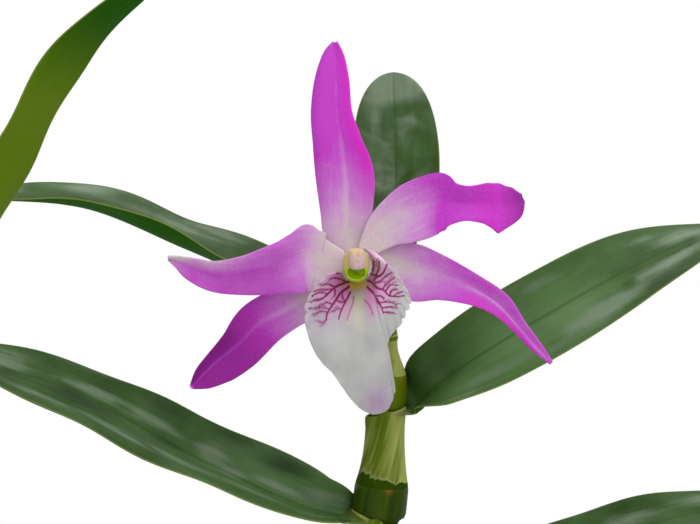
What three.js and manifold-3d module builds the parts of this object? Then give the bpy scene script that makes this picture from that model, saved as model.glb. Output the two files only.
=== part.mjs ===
// A potted dendrobium orchid in bloom: a plain clay pot filled with bark, a creeping rhizome
// with its roots, three jointed canes, the leaves whose sheaths wrap the joints, and one open
// flower on the leading cane. Millimetres, +Z up, the front towards -Y, and the origin at the
// middle of the pot's foot.
import * as THREE from "three";
import Module from "manifold-3d";
import { mergeVertices } from "three/addons/utils/BufferGeometryUtils.js";

const wasm = await Module();
wasm.setup();
const { Manifold } = wasm;

// Driving dimensions.
const GAP = 0.3; // clearance between pieces that touch on the plant
const POT = {
  height: 96,
  footRadius: 38,
  mouthRadius: 52,
  wall: 4.5,
  floor: 6,
  rimHeight: 18,
  rimProud: 3.2,
  drainRadius: 5,
  drainCircle: 20,
  sides: 32,
};
const BARK = { top: 79, chips: 24, length: 22, width: 13, height: 6.5 };
const JOINT = { sheathShare: 0.62, sheathWall: 0.7, mouthSlant: 0.3, sides: 10 };
const LEAF = { thick: 0.9, across: 4, base: 0.3, baseCurve: 8, widest: 0.42 };
const LEAF_STATIONS = [0, 0.06, 0.16, 0.36, 0.56, 0.76, 0.91, 1]; // shares of its spine
const TEPAL = { thick: 0.6, across: 4, steps: 13 };
const BLOOM = { centre: [0, -20, 299], tiltBack: 8 };
const LIP = { thick: 0.6, around: 24, across: 5, reach: 1.3, frills: 7, frillHeight: 0.35 };

const COLOUR = {
  clay: "#b06a45",
  bark: "#5c3f2a",
  root: "#a9ad8c",
  cane: "#5a6821",
  leaf: "#4a663c",
  petal: "#c866c9",
  sepal: "#b64cba",
  lip: "#e9e6e4",
  column: "#c9c48a",
  cap: "#ead2d2",
  pedicel: "#9aa45e",
};

const vec = (x, y, z) => new THREE.Vector3(x, y, z);
const radians = THREE.MathUtils.degToRad;
const mix = THREE.MathUtils.lerp;
const evenly = (count) => Array.from({ length: count + 1 }, (_, k) => k / count);

// A repeatable random number from 0 to 1.
function seeded(seed) {
  let state = seed;
  return () => {
    state = (state * 1664525 + 1013904223) % 4294967296;
    return state / 4294967296;
  };
}

// Smooth Catmull-Rom interpolation through rows of numbers. place 0 is the first row, 1 the next.
function through(rows, place) {
  const i = Math.min(Math.max(Math.floor(place), 0), rows.length - 2);
  const f = place - i;
  const row = (k) => rows[Math.min(Math.max(k, 0), rows.length - 1)];
  return rows[0].map((_, n) => {
    const [a, b, c, d] = [row(i - 1)[n], row(i)[n], row(i + 1)[n], row(i + 2)[n]];
    const cubic = f * f * f * (3 * b - a - 3 * c + d);
    return 0.5 * (2 * b + f * (c - a) + f * f * (2 * a - 5 * b + 4 * c - d) + cubic);
  });
}

// The same for a short list of numbers, with share 0 at the first and 1 at the last.
const blend = (values, share) =>
  through(values.map((v) => [v]), share * (values.length - 1))[0];

// Points spaced by their distance along a smooth line through rows of x, y, z.
function measured(rows) {
  const fine = evenly(80).map((s) => vec(...through(rows, s * (rows.length - 1))));
  const run = [0];
  for (let k = 1; k < fine.length; k++) run.push(run[k - 1] + fine[k].distanceTo(fine[k - 1]));
  return (share) => {
    const want = share * run.at(-1);
    const k = Math.min(Math.max(1, run.findIndex((r) => r >= want)), run.length - 1);
    return fine[k - 1].clone().lerp(fine[k], (want - run[k - 1]) / (run[k] - run[k - 1]));
  };
}

// A closed mesh as a solid, with its shared vertices merged and its empty triangles dropped.
function toSolid(geometry) {
  const bare = geometry.clone();
  bare.deleteAttribute("normal");
  bare.deleteAttribute("uv");
  const merged = mergeVertices(bare, 1e-4);
  const corners = [];
  const index = merged.index.array;
  for (let i = 0; i < index.length; i += 3) {
    const [a, b, c] = [index[i], index[i + 1], index[i + 2]];
    if (a !== b && b !== c && c !== a) corners.push(a, b, c);
  }
  return new Manifold(
    new wasm.Mesh({
      numProp: 3,
      vertProperties: merged.attributes.position.array,
      triVerts: new Uint32Array(corners),
    }),
  );
}

// The largest body of a solid, as a geometry. Scraps that a cut left behind are dropped.
function toGeometry(solid) {
  const whole = solid.decompose().sort((a, b) => b.volume() - a.volume())[0];
  const mesh = whole.getMesh();
  return new THREE.BufferGeometry()
    .setAttribute("position", new THREE.BufferAttribute(mesh.vertProperties, 3))
    .setIndex(new THREE.BufferAttribute(mesh.triVerts, 1));
}

// A closed skin over rings that have equally many points. Each end is closed by a strip that
// joins point k to point n - 1 - k. The second half of a ring splits its quads the other way, so
// that the two faces of a thin blade are split alike.
function loft(rings) {
  const n = rings[0].length;
  const last = rings.length - 1;
  const at = (ring, k) => ring * n + (k % n);
  const triangles = [];
  for (let r = 0; r < last; r++) {
    for (let k = 0; k < n; k++) {
      const [a, b, c, d] = [at(r, k), at(r, k + 1), at(r + 1, k + 1), at(r + 1, k)];
      if (k < n / 2) triangles.push(a, b, c, a, c, d);
      else triangles.push(a, b, d, b, c, d);
    }
  }
  for (let k = 0; k < n / 2 - 1; k++) {
    const [a, b, c, d] = [k, k + 1, n - 2 - k, n - 1 - k].map((j) => at(0, j));
    triangles.push(a, d, c, a, c, b);
    const [e, f, g, h] = [k, k + 1, n - 2 - k, n - 1 - k].map((j) => at(last, j));
    triangles.push(e, g, h, e, f, g);
  }
  const points = rings.flat();
  let volume = 0;
  for (let i = 0; i < triangles.length; i += 3) {
    const [a, b, c] = [0, 1, 2].map((k) => points[triangles[i + k]]);
    volume += a.dot(b.clone().cross(c));
  }
  if (volume < 0) triangles.reverse();
  const places = new THREE.Float32BufferAttribute(points.flatMap((p) => p.toArray()), 3);
  return new THREE.BufferGeometry().setAttribute("position", places).setIndex(triangles);
}

// A round rod over stations { centre, along, radius, tilt }. A tilt is a vector that slants the
// ring, so that it reaches further along the rod on that side.
function rod(stations, sides) {
  const rings = stations.map(({ centre, along, radius, tilt }) => {
    const side = along.clone().cross(vec(0.31, -0.95, 0.02)).normalize();
    const front = along.clone().cross(side);
    return Array.from({ length: sides }, (_, k) => {
      const turn = (2 * Math.PI * (k + 0.5)) / sides;
      const out = side.clone().multiplyScalar(radius * Math.cos(turn));
      out.addScaledVector(front, radius * Math.sin(turn));
      if (tilt) out.addScaledVector(along, out.dot(tilt));
      return out.add(centre);
    });
  });
  return loft(rings);
}

// A rod along a smooth line of rows [x, y, z, radius].
function wand(rows, steps, sides) {
  const end = rows.length - 1;
  const point = (place) => vec(...through(rows, place).slice(0, 3));
  const stations = evenly(steps).map((share) => {
    const place = share * end;
    const [before, after] = [Math.max(place - 0.05, 0), Math.min(place + 0.05, end)];
    return {
      centre: point(place),
      along: point(after).sub(point(before)).normalize(),
      radius: through(rows, place)[3],
    };
  });
  return rod(stations, sides);
}

const RIB_ROUND = 0.02; // rounds the fold at the rib

// A thin blade over stations { centre, along, up, left, right, fold }. Its two halves fold up
// from the rib by an angle, and the thickness is laid off square to the blade on both sides.
function blade(stations, thick, across) {
  const rings = stations.map((s) => {
    const side = s.along.clone().cross(s.up).normalize();
    const section = evenly(across).map((share) => {
      const place = 2 * share - 1;
      const width = place < 0 ? s.left : s.right;
      const soft = Math.sqrt(place * place + RIB_ROUND) - Math.sqrt(RIB_ROUND);
      return [place * width * Math.cos(s.fold), soft * width * Math.sin(s.fold)];
    });
    const faces = [0.5, -0.5].map((half) =>
      section.map(([x, y], k) => {
        const [before, after] = [section[Math.max(k - 1, 0)], section[Math.min(k + 1, across)]];
        const [dx, dy] = [after[0] - before[0], after[1] - before[1]];
        const length = Math.hypot(dx, dy);
        return s.centre
          .clone()
          .addScaledVector(side, x - (half * thick * dy) / length)
          .addScaledVector(s.up, y + (half * thick * dx) / length);
      }),
    );
    return [...faces[0], ...faces[1].reverse()];
  });
  return loft(rings);
}

// The direction square to a spine that faces a given way, rolled about the spine.
function facing(along, towards, roll) {
  const up = towards.clone().addScaledVector(along, -towards.dot(along)).normalize();
  return up.applyAxisAngle(along, roll);
}

// The clay pot: a turned wall with a thick plain rim, a flat floor and four drain holes.
function clayPot() {
  const { height, footRadius, mouthRadius, wall, floor, rimHeight, rimProud } = POT;
  const outside = (z) => mix(footRadius, mouthRadius, z / height);
  const profile = [
    [0, 0],
    [footRadius - 1.5, 0],
    [footRadius, 1.5],
    [outside(height - rimHeight), height - rimHeight],
    [outside(height - rimHeight) + rimProud, height - rimHeight + 1],
    [mouthRadius + rimProud, height - 2.5],
    [mouthRadius + rimProud - 2, height],
    [mouthRadius - wall + 1.5, height],
    [mouthRadius - wall, height - 1.5],
    [outside(floor) - wall, floor],
    [0, floor],
  ].map(([r, z]) => new THREE.Vector2(r, z));
  const turned = new THREE.LatheGeometry(profile, POT.sides).rotateX(Math.PI / 2);
  const drains = [45, 135, 225, 315].map((angle) => {
    const hole = new THREE.CylinderGeometry(POT.drainRadius, POT.drainRadius, 3 * floor, 12);
    hole.rotateX(Math.PI / 2);
    hole.translate(
      POT.drainCircle * Math.cos(radians(angle)),
      POT.drainCircle * Math.sin(radians(angle)),
      0,
    );
    return toSolid(hole);
  });
  return toSolid(turned).subtract(Manifold.union(drains));
}

// The bark in the pot: one packed body whose top is a jumble of angular chips.
function barkFill() {
  const slope = (POT.mouthRadius - POT.footRadius) / POT.height;
  const inner = (z) => POT.footRadius + slope * z - POT.wall - GAP - 0.4;
  const low = POT.floor + GAP;
  const packed = BARK.top - BARK.height * 0.5;
  const body = new THREE.LatheGeometry(
    [
      [0, low],
      [inner(low), low],
      [inner(packed), packed],
      [0, packed + 2],
    ].map(([r, z]) => new THREE.Vector2(r, z)),
    POT.sides,
  ).rotateX(Math.PI / 2);
  const random = seeded(7);
  const chips = Array.from({ length: BARK.chips }, (_, k) => {
    const size = 0.7 + 0.5 * random();
    const chip = new THREE.BoxGeometry(
      BARK.length * size,
      BARK.width * size * (0.8 + 0.4 * random()),
      BARK.height * size,
    );
    const corners = chip.attributes.position;
    for (let i = 0; i < corners.count; i++) {
      if (corners.getX(i) > 0) corners.setY(i, corners.getY(i) * 0.75);
    }
    chip.rotateX(radians(34 * (random() - 0.5)));
    chip.rotateY(radians(34 * (random() - 0.5)));
    chip.rotateZ(2 * Math.PI * random());
    // A sunflower spiral spreads the chips evenly over the round top.
    const away = (inner(packed) - 0.62 * BARK.length) * Math.sqrt((k + 0.5) / BARK.chips);
    const turn = k * 2.39996;
    chip.translate(away * Math.cos(turn), away * Math.sin(turn), packed + 1 + 2.4 * random());
    return toSolid(chip);
  });
  return toSolid(body).add(Manifold.union(chips));
}

// The creeping rhizome, half sunk in the bark, and the roots that run from it: rows of
// [x, y, z, radius]. The last two roots hang over the pot's rim.
const RHIZOME = [
  [-36, -12, 77.5, 2.4],
  [-28, -8, 79, 4.4],
  [-20, -3, 79.5, 3.6],
  [-13, 3, 80, 4.8],
  [-4, 8, 79.5, 3.6],
  [5, 12, 79.5, 4.6],
  [13, 17, 79, 4.2],
  [20, 20, 77, 2],
];
const ROOTS = [
  [[-13, 3, 80, 1.5], [-14, -10, 82, 1.3], [-8, -24, 81, 1.2], [3, -34, 75, 1]],
  [[-20, -3, 79, 1.4], [-24, -14, 82, 1.3], [-22, -28, 80.5, 1.2], [-14, -38, 74, 1]],
  [[-4, 8, 79, 1.4], [8, 2, 82, 1.3], [21, -6, 81, 1.2], [33, -10, 75, 1]],
  [[5, 12, 79, 1.4], [16, 8, 82, 1.3], [29, 8, 81, 1.2], [39, 12, 75, 1]],
  [[-4, 8, 79, 1.4], [-2, 20, 82, 1.3], [4, 31, 81, 1.2], [12, 39, 75, 1]],
  [
    [-28, -8, 80, 1.5],
    [-36, -16, 88, 1.4],
    [-45, -24, 98.5, 1.4],
    [-52.5, -28, 93, 1.4],
    [-55.5, -30, 76, 1.3],
    [-55, -33, 55, 1.1],
  ],
  [
    [13, 17, 80, 1.5],
    [26, 20, 90, 1.4],
    [45, 23, 99, 1.4],
    [55.5, 25, 93, 1.4],
    [58, 24, 80, 1.3],
    [57, 20, 66, 1.1],
  ],
];

// The rhizome and its roots as one body, grown by an amount all round.
function rhizomeWithRoots(grown) {
  const grow = (rows) => rows.map(([x, y, z, r]) => [x, y, z, r + grown]);
  return Manifold.union([
    toSolid(wand(grow(RHIZOME), 10, 8)),
    ...ROOTS.map((rows) => toSolid(wand(grow(rows), 2 * (rows.length - 1), 5))),
  ]);
}

// The canes from the bark up: each row is a ring of the stem as [x, y, z, ring radius, radius of
// the sheath's mouth above it].
const CANES = {
  lead: {
    rings: [
      [-13, 3, 70, 2.8, 2.8],
      [-15, 2, 84, 3.4, 3.4],
      [-15.5, 1, 101, 4.6, 4.3],
      [-13.8, 0, 121, 5.4, 5],
      [-10.8, -1, 143, 5.8, 5.4],
      [-7.2, -2, 166.5, 5.9, 5.5],
      [-3.4, -2.7, 190, 5.9, 5.5],
      [-0.4, -3, 213, 5.9, 5.4],
      [2.2, -3, 235.5, 5.6, 5],
      [4.75, -3, 253.3, 4.95, 3.7],
      [5.6, -3, 274.3, 3.7, 2.1],
      [5.5, -2.8, 283, 1.9, 1.7],
      [6.6, -1.8, 291, 0.9, 0.9],
    ],
  },
  left: {
    rings: [
      [-28, -8, 70, 2.8, 2.8],
      [-31, -10, 84, 3.2, 3.2],
      [-35.5, -12, 104, 4.3, 4],
      [-41.5, -15, 127, 5, 4.6],
      [-49, -18.5, 152, 5.3, 4.9],
      [-56.5, -22, 178, 5.4, 5],
      [-63.5, -25.5, 204, 5.3, 4.8],
      [-69.5, -28, 228, 5, 4.4],
      [-73.5, -29.5, 250, 4.6, 3.6],
      [-75.3, -30, 270, 3.6, 2.4],
      [-75.8, -30, 279, 2.1, 1.9],
      [-76.2, -29.6, 287, 0.9, 0.9],
    ],
  },
  rear: {
    rings: [
      [9, 14, 70, 2.8, 2.8],
      [11.5, 18, 84, 3.2, 3.2],
      [16, 24, 102, 4.6, 4.2],
      [21.5, 31, 122, 5.2, 4.8],
      [27, 38, 143, 5.2, 4.6],
      [31.5, 44, 163, 4.6, 3.6],
      [34, 47, 179, 3.4, 2.3],
      [34.8, 48, 187, 2, 1.8],
      [35.2, 48.6, 194, 0.9, 0.9],
    ],
  },
};

// The spine of a leaf as steps from the sheath's mouth: it turns evenly from one heading and one
// rise to the next. Headings are degrees from +X towards +Y, rises are degrees above level.
function arched(length, headings, rises) {
  const point = vec(0, 0, 0);
  return evenly(3).map((share) => {
    const [a, b] = [radians(blend(headings, share)), radians(blend(rises, share))];
    point.add(
      vec(Math.cos(a) * Math.cos(b), Math.sin(a) * Math.cos(b), Math.sin(b)).multiplyScalar(
        length / 4,
      ),
    );
    return point.toArray();
  });
}

// Every leaf by its ring on the cane. The spine is measured from the middle of the sheath's
// mouth; rolls and folds are in degrees from base to tip.
const LEAVES = {
  lead: {
    5: {
      spine: arched(88, [10, 2, -4], [42, 12, -22]),
      width: 17,
      roll: [15, 15, 5],
      fold: [50, 16, 12],
    },
    6: {
      spine: arched(90, [186, 190, 196], [42, 18, -12]),
      width: 17,
      roll: [-20, -20, -10],
      fold: [50, 16, 12],
    },
    7: {
      spine: [[6.7, -1, 0], [20.5, -5.5, 5.2], [46.2, -11, 18.4], [73.3, -17, 26.6]],
      width: 17,
      roll: [25, 30, 20],
      fold: [50, 16, 12],
    },
    8: {
      spine: [
        [-7.5, -1, 0.8],
        [-14.7, -3, 3.2],
        [-34.8, -5.8, 13.3],
        [-55.8, -9.5, 25.7],
        [-79.6, -14, 34.6],
      ],
      width: 17.6,
      roll: [-44, -35, -25],
      fold: [50, 30, 5, 13],
      power: 3,
    },
    9: {
      spine: [[5.9, -1, 0.3], [10.4, -4, 6.3], [25.6, -7, 17], [46.6, -4, 28.4], [64.8, 2, 35.2]],
      width: 17.2,
      roll: [53, 65, 62, 20],
      fold: [50, 19, 15, -12],
      power: 1.7,
    },
    10: {
      spine: [
        [-7.7, -0.2, 8.4],
        [-23, 1.8, 11.8],
        [-37.4, 4.8, 17.3],
        [-55.8, 7.8, 24.4],
        [-74.4, 8.8, 26.3],
      ],
      width: 16,
      roll: [3, -11, -2, -19],
      fold: [55, 40, 36, 23],
      power: 3,
    },
    11: {
      spine: [[0.8, 1.5, 4], [1.1, 5, 14], [1.2, 9, 27], [0.7, 14, 41]],
      width: 16.6,
      roll: [0, 0, 0],
      fold: [60, 62, 14, 8, 8],
      towards: [0, -1, 0.2],
      power: 3.8,
    },
  },
  left: {
    6: {
      spine: arched(86, [170, 178, 186], [40, 12, -18]),
      width: 16,
      roll: [-15, -15, -5],
      fold: [50, 16, 12],
    },
    7: {
      spine: arched(84, [-95, -88, -80], [20, -20, -45]),
      width: 16,
      roll: [10, 10, 0],
      fold: [50, 16, 12],
    },
    9: {
      spine: arched(82, [188, 196, 204], [48, 26, -2]),
      width: 16,
      roll: [-20, -20, -10],
      fold: [50, 18, 12],
    },
    10: {
      spine: [[7.3, -1.3, 14.2], [14.7, -2.3, 30.3], [26.9, -4.3, 52.1], [42.2, -6.3, 65.2]],
      width: 17,
      roll: [-36, -14, -20],
      fold: [45, 11, 16],
    },
  },
  rear: {
    4: {
      spine: arched(80, [150, 140, 132], [36, 8, -24]),
      width: 16,
      roll: [-10, -10, 0],
      fold: [50, 16, 12],
    },
    5: {
      spine: arched(78, [-12, -4, 4], [38, 10, -20]),
      width: 15.5,
      roll: [15, 15, 5],
      fold: [50, 16, 12],
    },
    6: {
      spine: arched(70, [120, 112, 104], [40, 14, -14]),
      width: 15,
      roll: [-10, -10, 0],
      fold: [50, 18, 12],
    },
    7: {
      spine: arched(52, [40, 44, 48], [58, 36, 12]),
      width: 14,
      roll: [0, 0, 0],
      fold: [50, 18, 12],
      power: 4,
    },
  },
};
for (const [name, cane] of Object.entries(CANES)) cane.leaves = LEAVES[name];

// The centre and direction of a cane. place counts the joints from the lowest ring.
function caneAxis(cane, place) {
  const end = cane.rings.length - 1;
  const point = (p) => vec(...through(cane.rings, Math.min(Math.max(p, 0), end)).slice(0, 3));
  return { centre: point(place), along: point(place + 0.03).sub(point(place - 0.03)).normalize() };
}

// The outer radius of the sheath on a joint, from its ring to its mouth.
function sheathRadius(cane, ring, f) {
  const [, , , radius, mouth] = cane.rings[ring];
  const share = Math.min(f / 0.5, 1);
  return mix(radius, mouth, share * (2 - share));
}

// The stem's outline on one joint as [place, radius]. Under a green sheath it is recessed by the
// sheath's wall and its clearance. Above the mouth it swells, then it narrows to the next ring.
function stemOutline(cane, ring) {
  const recess = cane.leaves[ring] ? JOINT.sheathWall + GAP : 0;
  const [, , , radius, mouth] = cane.rings[ring];
  const next = cane.rings[ring + 1][3];
  const swell = Math.max(next * 1.05, mouth + 0.2);
  const inSheath = (f) => Math.max(sheathRadius(cane, ring, f) - recess, 0.8);
  return [
    [0, radius - 0.3],
    [0.03, inSheath(0.03)],
    ...(recess ? [[0.32, inSheath(0.32)]] : []),
    [0.64, inSheath(0.6)],
    [0.76, swell],
    [0.95, next + 0.15],
  ].map(([f, r]) => [ring + f, r]);
}

// One whole stem, grown by an amount all round.
function stem(cane, grown) {
  const end = cane.rings.length - 1;
  const outline = Array.from({ length: end }, (_, ring) => stemOutline(cane, ring)).flat();
  outline.push([end, cane.rings[end][3] * 0.6]);
  const stations = outline.map(([place, radius]) => ({
    ...caneAxis(cane, place),
    radius: radius + grown,
  }));
  return toSolid(rod(stations, JOINT.sides));
}

// The upper joints of a cane with their sheaths on, from one ring up, grown by an amount.
function sleeve(cane, from, grown) {
  const end = cane.rings.length - 1;
  const places = evenly((end - from) * 2).map((share) => mix(from, end, share));
  const stations = places.map((place) => {
    const ring = Math.min(Math.floor(place), end - 1);
    const next = cane.rings[ring + 1][3];
    const thick = Math.max(sheathRadius(cane, ring, place - ring), next * 1.05);
    return { ...caneAxis(cane, place), radius: thick + 0.3 + grown };
  });
  return toSolid(rod(stations, JOINT.sides));
}

// Half-width along a leaf as a share of its widest: a round clasping base, long nearly parallel
// margins and a tip that is the blunter the higher the power.
function leafShape(share, power) {
  const { base, baseCurve, widest } = LEAF;
  if (share < widest) return 1 - (1 - base) * (1 - share / widest) ** baseCurve;
  return Math.sqrt(Math.max(1 - ((share - widest) / (1 - widest)) ** power, 0.006));
}

// A leaf with its sheath: the tube that wraps the joint and the blade that leaves its mouth.
function leafWithSheath(cane, ring, leaf) {
  const mouth = caneAxis(cane, ring + JOINT.sheathShare);
  const toLeaf = vec(leaf.spine[0][0], leaf.spine[0][1], 0).normalize();
  const tube = [0.05, 0.22, 0.46, JOINT.sheathShare].map((f) => ({
    ...caneAxis(cane, ring + f),
    radius: sheathRadius(cane, ring, f) + (f === JOINT.sheathShare ? 0.15 : 0),
    tilt: f === JOINT.sheathShare ? toLeaf.clone().multiplyScalar(JOINT.mouthSlant) : null,
  }));
  const start = mouth.centre.clone().addScaledVector(mouth.along, -2);
  start.addScaledVector(toLeaf, 0.7 * cane.rings[ring][4]);
  const spine = measured([
    start.toArray(),
    ...leaf.spine.map((p) => vec(...p).add(mouth.centre).toArray()),
  ]);
  const towards = vec(...(leaf.towards ?? [0, 0, 1]));
  const stations = LEAF_STATIONS.map((share) => {
    const along = spine(Math.min(share + 0.01, 1)).sub(spine(Math.max(share - 0.01, 0)));
    along.normalize();
    const half = 0.5 * leaf.width * leafShape(share, leaf.power ?? 2.6);
    return {
      centre: spine(share),
      along,
      up: facing(along, towards, radians(blend(leaf.roll, share))),
      left: half,
      right: half,
      fold: radians(blend(leaf.fold, share)),
    };
  });
  let made = toSolid(blade(stations, LEAF.thick, LEAF.across));
  if (ring + 2 < cane.rings.length) made = made.subtract(sleeve(cane, ring + 1, GAP));
  return toSolid(rod(tube, JOINT.sides)).add(made).subtract(stem(cane, GAP));
}

// The flower is drawn in its own frame: a to the viewer's right, b up, c out towards the viewer.
// Each tepal's row is [a, b, c, half-width on the left of its rib, on the right, fold in degrees].
const TEPALS = {
  dorsal_sepal: [
    [-0.3, 1, -2.2, 1.6, 1.6, 0],
    [-1.7, 3.8, -2, 4.1, 3.7, 6],
    [-2.2, 8.3, -1.5, 4.5, 5.1, 8],
    [-2.4, 14.8, -1, 5.2, 5.5, 10],
    [-3.1, 20.7, -0.8, 5, 4, 12],
    [-3.8, 25.7, -1, 4.6, 3, 12],
    [-3.9, 31.3, -1.4, 3.9, 2.6, 14],
    [-4, 35.5, -1.9, 2.6, 1.9, 16],
    [-4, 37.6, -2.2, 1.4, 1, 16],
    [-4, 38.5, -2.3, 0.3, 0.3, 16],
  ],
  petal_right: [
    [1.3, 0.4, -0.5, 1.4, 1.4, 0],
    [5, 4.9, -0.2, 3.4, 4, 4],
    [9.5, 7.7, 0.3, 4.9, 5.6, 6],
    [14.4, 9.7, 0.6, 5, 5.4, 10],
    [16.6, 9.6, 0.7, 4.3, 4.75, 22],
    [19.4, 9.3, 0.8, 3.5, 3.9, 38],
    [22.5, 9.1, 0.5, 3.9, 3.8, 24],
    [24, 8.9, 0.4, 4.2, 4, 16],
    [25, 8.7, 0.2, 4.4, 5, 12],
    [25.8, 8.8, 0.1, 4.4, 4.2, 11],
    [26.8, 9, 0, 4.1, 3.5, 9],
    [28.3, 9.3, -0.4, 3.1, 2.5, 7],
    [29.4, 9.8, -0.7, 1.6, 1.2, 5],
    [30.1, 10.1, -1, 0.3, 0.3, 4],
  ],
  petal_left: [
    [-2.1, -0.6, -0.5, 1.4, 1.4, 0],
    [-5.8, -1.3, -0.2, 4.9, 4.9, 4],
    [-7.5, -1.1, 0, 5.4, 5.6, 5],
    [-9.2, -0.95, 0.2, 5.9, 6.5, 6],
    [-10.6, -1.15, 0.3, 6, 5.2, 6],
    [-12.8, -1.9, 0.5, 5.4, 4.6, 8],
    [-15.3, -2.7, 0.6, 4.6, 4.4, 10],
    [-20.2, -3.6, 0.6, 3.8, 3.6, 18],
    [-25.4, -3.8, 0.3, 3.1, 2.9, 22],
    [-29.5, -2.7, -0.3, 2.2, 2.3, 20],
    [-32.2, -1.4, -0.8, 1.1, 1.3, 16],
    [-34, -0.7, -1.2, 0.35, 0.35, 10],
  ],
  lateral_sepal_left: [
    [-1.7, -2.2, -2.2, 1.4, 1.4, 0],
    [-7, -6.5, -2.1, 4, 4.4, 4],
    [-12.4, -10, -2.1, 3.5, 4.7, 6],
    [-17.6, -12.8, -2.2, 4.4, 4.6, 6],
    [-21.4, -16.6, -2.3, 4.4, 3.7, 8],
    [-25.4, -19.6, -2.5, 4.1, 2.4, 10],
    [-28, -22.1, -2.7, 2.6, 1.8, 10],
    [-30.1, -24, -3, 0.35, 0.35, 10],
  ],
  lateral_sepal_right: [
    [1.8, -1.7, -2.2, 1.4, 1.4, 0],
    [5.9, -2.3, -2.1, 4.6, 4.8, 4],
    [10.8, -3.1, -2.1, 5, 5.4, 8],
    [15.8, -4, -2.2, 3.65, 4.4, 16],
    [21.2, -5.9, -2.3, 2.6, 3.7, 28],
    [25.7, -9, -2.5, 2.7, 2.5, 34],
    [29.3, -13, -2.8, 1.7, 1.5, 34],
    [32.6, -16.9, -3.1, 1.2, 1, 26],
    [35.3, -19.5, -3.4, 0.3, 0.3, 20],
  ],
};

function tepal(rows) {
  const end = rows.length - 1;
  const point = (place) => vec(...through(rows, Math.min(Math.max(place, 0), end)).slice(0, 3));
  const stations = evenly(TEPAL.steps).map((share) => {
    const place = share * end;
    const [, , , left, right, fold] = through(rows, place);
    const along = point(place + 0.1).sub(point(place - 0.1)).normalize();
    return {
      centre: point(place),
      along,
      up: facing(along, vec(0, 0, 1), 0),
      left: Math.max(left, 0.25),
      right: Math.max(right, 0.25),
      fold: radians(fold),
    };
  });
  return blade(stations, TEPAL.thick, TEPAL.across);
}

// The lip is a flared trumpet cut open at the top. Its margin runs anticlockwise from the top of
// the left lobe round the long middle lobe to the top of the right lobe, as [a, b].
const LIP_MARGIN = [
  [-3.3, -3.1], [-5.1, -3.5], [-6.9, -5.3], [-8.2, -6.7], [-9.2, -8.9], [-9.3, -11.2],
  [-8.7, -14], [-7.6, -17], [-6, -19.3], [-4.2, -21.1], [-2.3, -23.9], [-0.2, -26.6],
  [1.8, -28], [3.5, -28.3], [5.3, -27.6], [6.2, -26], [6.7, -24.3], [6.4, -22.1],
  [5.5, -19], [5.3, -16.1], [6.2, -14], [8, -12], [8.7, -10.3], [9.5, -8.9],
  [9.2, -7.1], [7.8, -4.4], [6.2, -2.1], [4.9, -0.35], [3, 1.1], [1.2, 1.4],
];
// Its depth at the throat, at the bulge between and at the margin, along the same way.
const LIP_DEPTH = [
  [1.5, 6, 7.5],
  [1, 7, 8.5],
  [1, 8, 9],
  [1, 12, 7.5],
  [1, 15, 5],
  [1, 12, 7.5],
  [1, 8, 9],
  [1, 7, 8.5],
  [1.5, 5, 7],
];
const THROAT = { centre: [-0.2, -1.8], half: [3.1, 3.9], from: 203, to: 426 };

function lipPoint(share, reach) {
  const turn = radians(mix(THROAT.from, THROAT.to, share));
  const inner = [
    THROAT.centre[0] + THROAT.half[0] * Math.cos(turn),
    THROAT.centre[1] + THROAT.half[1] * Math.sin(turn),
  ];
  const outer = through(LIP_MARGIN, share * (LIP_MARGIN.length - 1));
  const [throat, bulge, margin] = through(LIP_DEPTH, share * (LIP_DEPTH.length - 1));
  const spread = reach ** LIP.reach;
  const frill = LIP.frillHeight * Math.sin(2 * Math.PI * LIP.frills * share) * reach ** 4;
  const left = 1 - reach;
  return vec(
    mix(inner[0], outer[0], spread),
    mix(inner[1], outer[1], spread),
    left * left * throat + 2 * left * reach * bulge + reach * reach * margin + frill,
  );
}

function lip() {
  const step = 0.01;
  const rings = evenly(LIP.around).map((share) => {
    const faces = [0.5, -0.5].map((half) =>
      evenly(LIP.across).map((reach) => {
        const [s0, s1] = [Math.max(share - step, 0), Math.min(share + step, 1)];
        const [r0, r1] = [Math.max(reach - step, 0), Math.min(reach + step, 1)];
        const round = lipPoint(s1, reach).sub(lipPoint(s0, reach));
        const out = lipPoint(share, r1).sub(lipPoint(share, r0));
        const normal = round.cross(out).normalize();
        return lipPoint(share, reach).addScaledVector(normal, half * LIP.thick);
      }),
    );
    return [...faces[0], ...faces[1].reverse()];
  });
  return loft(rings);
}

// The column: a slim foot between the sepals' bases, then a stout oval post that ends in the
// hollow stigma with the anther cap above it. Rows are [a, b, c, half-width, half-height].
const COLUMN = [
  [-0.1, -1, -2.5, 0.9, 0.9],
  [-0.1, -1.1, -0.6, 0.9, 0.9],
  [-0.1, -1.4, 0.6, 1.6, 1.7],
  [-0.2, -1.8, 2.4, 2.2, 2.5],
  [-0.2, -1.8, 6, 2.4, 3],
  [-0.2, -1.8, 8.8, 2.4, 3.2],
  [-0.2, -1.7, 9.5, 1.9, 2.6],
];

function column() {
  const sides = 10;
  const rings = evenly(9).map((share) => {
    const [a, b, c, wide, high] = through(COLUMN, share * (COLUMN.length - 1));
    return Array.from({ length: sides }, (_, k) => {
      const turn = (2 * Math.PI * (k + 0.5)) / sides;
      return vec(a + wide * Math.cos(turn), b + high * Math.sin(turn), c);
    });
  });
  const hollow = new THREE.SphereGeometry(1, 10, 8).scale(1.3, 1.25, 1.6);
  hollow.translate(0.2, -3.3, 9.8);
  const cut = toSolid(loft(rings)).subtract(toSolid(hollow));
  return toGeometry(cut);
}

// The anther cap: a small rounded lid on the column's end.
function antherCap() {
  const dome = new THREE.SphereGeometry(1, 12, 8).scale(1.5, 2, 1.5);
  dome.translate(-0.1, -0.7, 9.5 + GAP);
  const below = new THREE.BoxGeometry(8, 8, 4).translate(0, 0, 9.5 + GAP - 2);
  return toGeometry(toSolid(dome).subtract(toSolid(below)));
}

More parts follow.
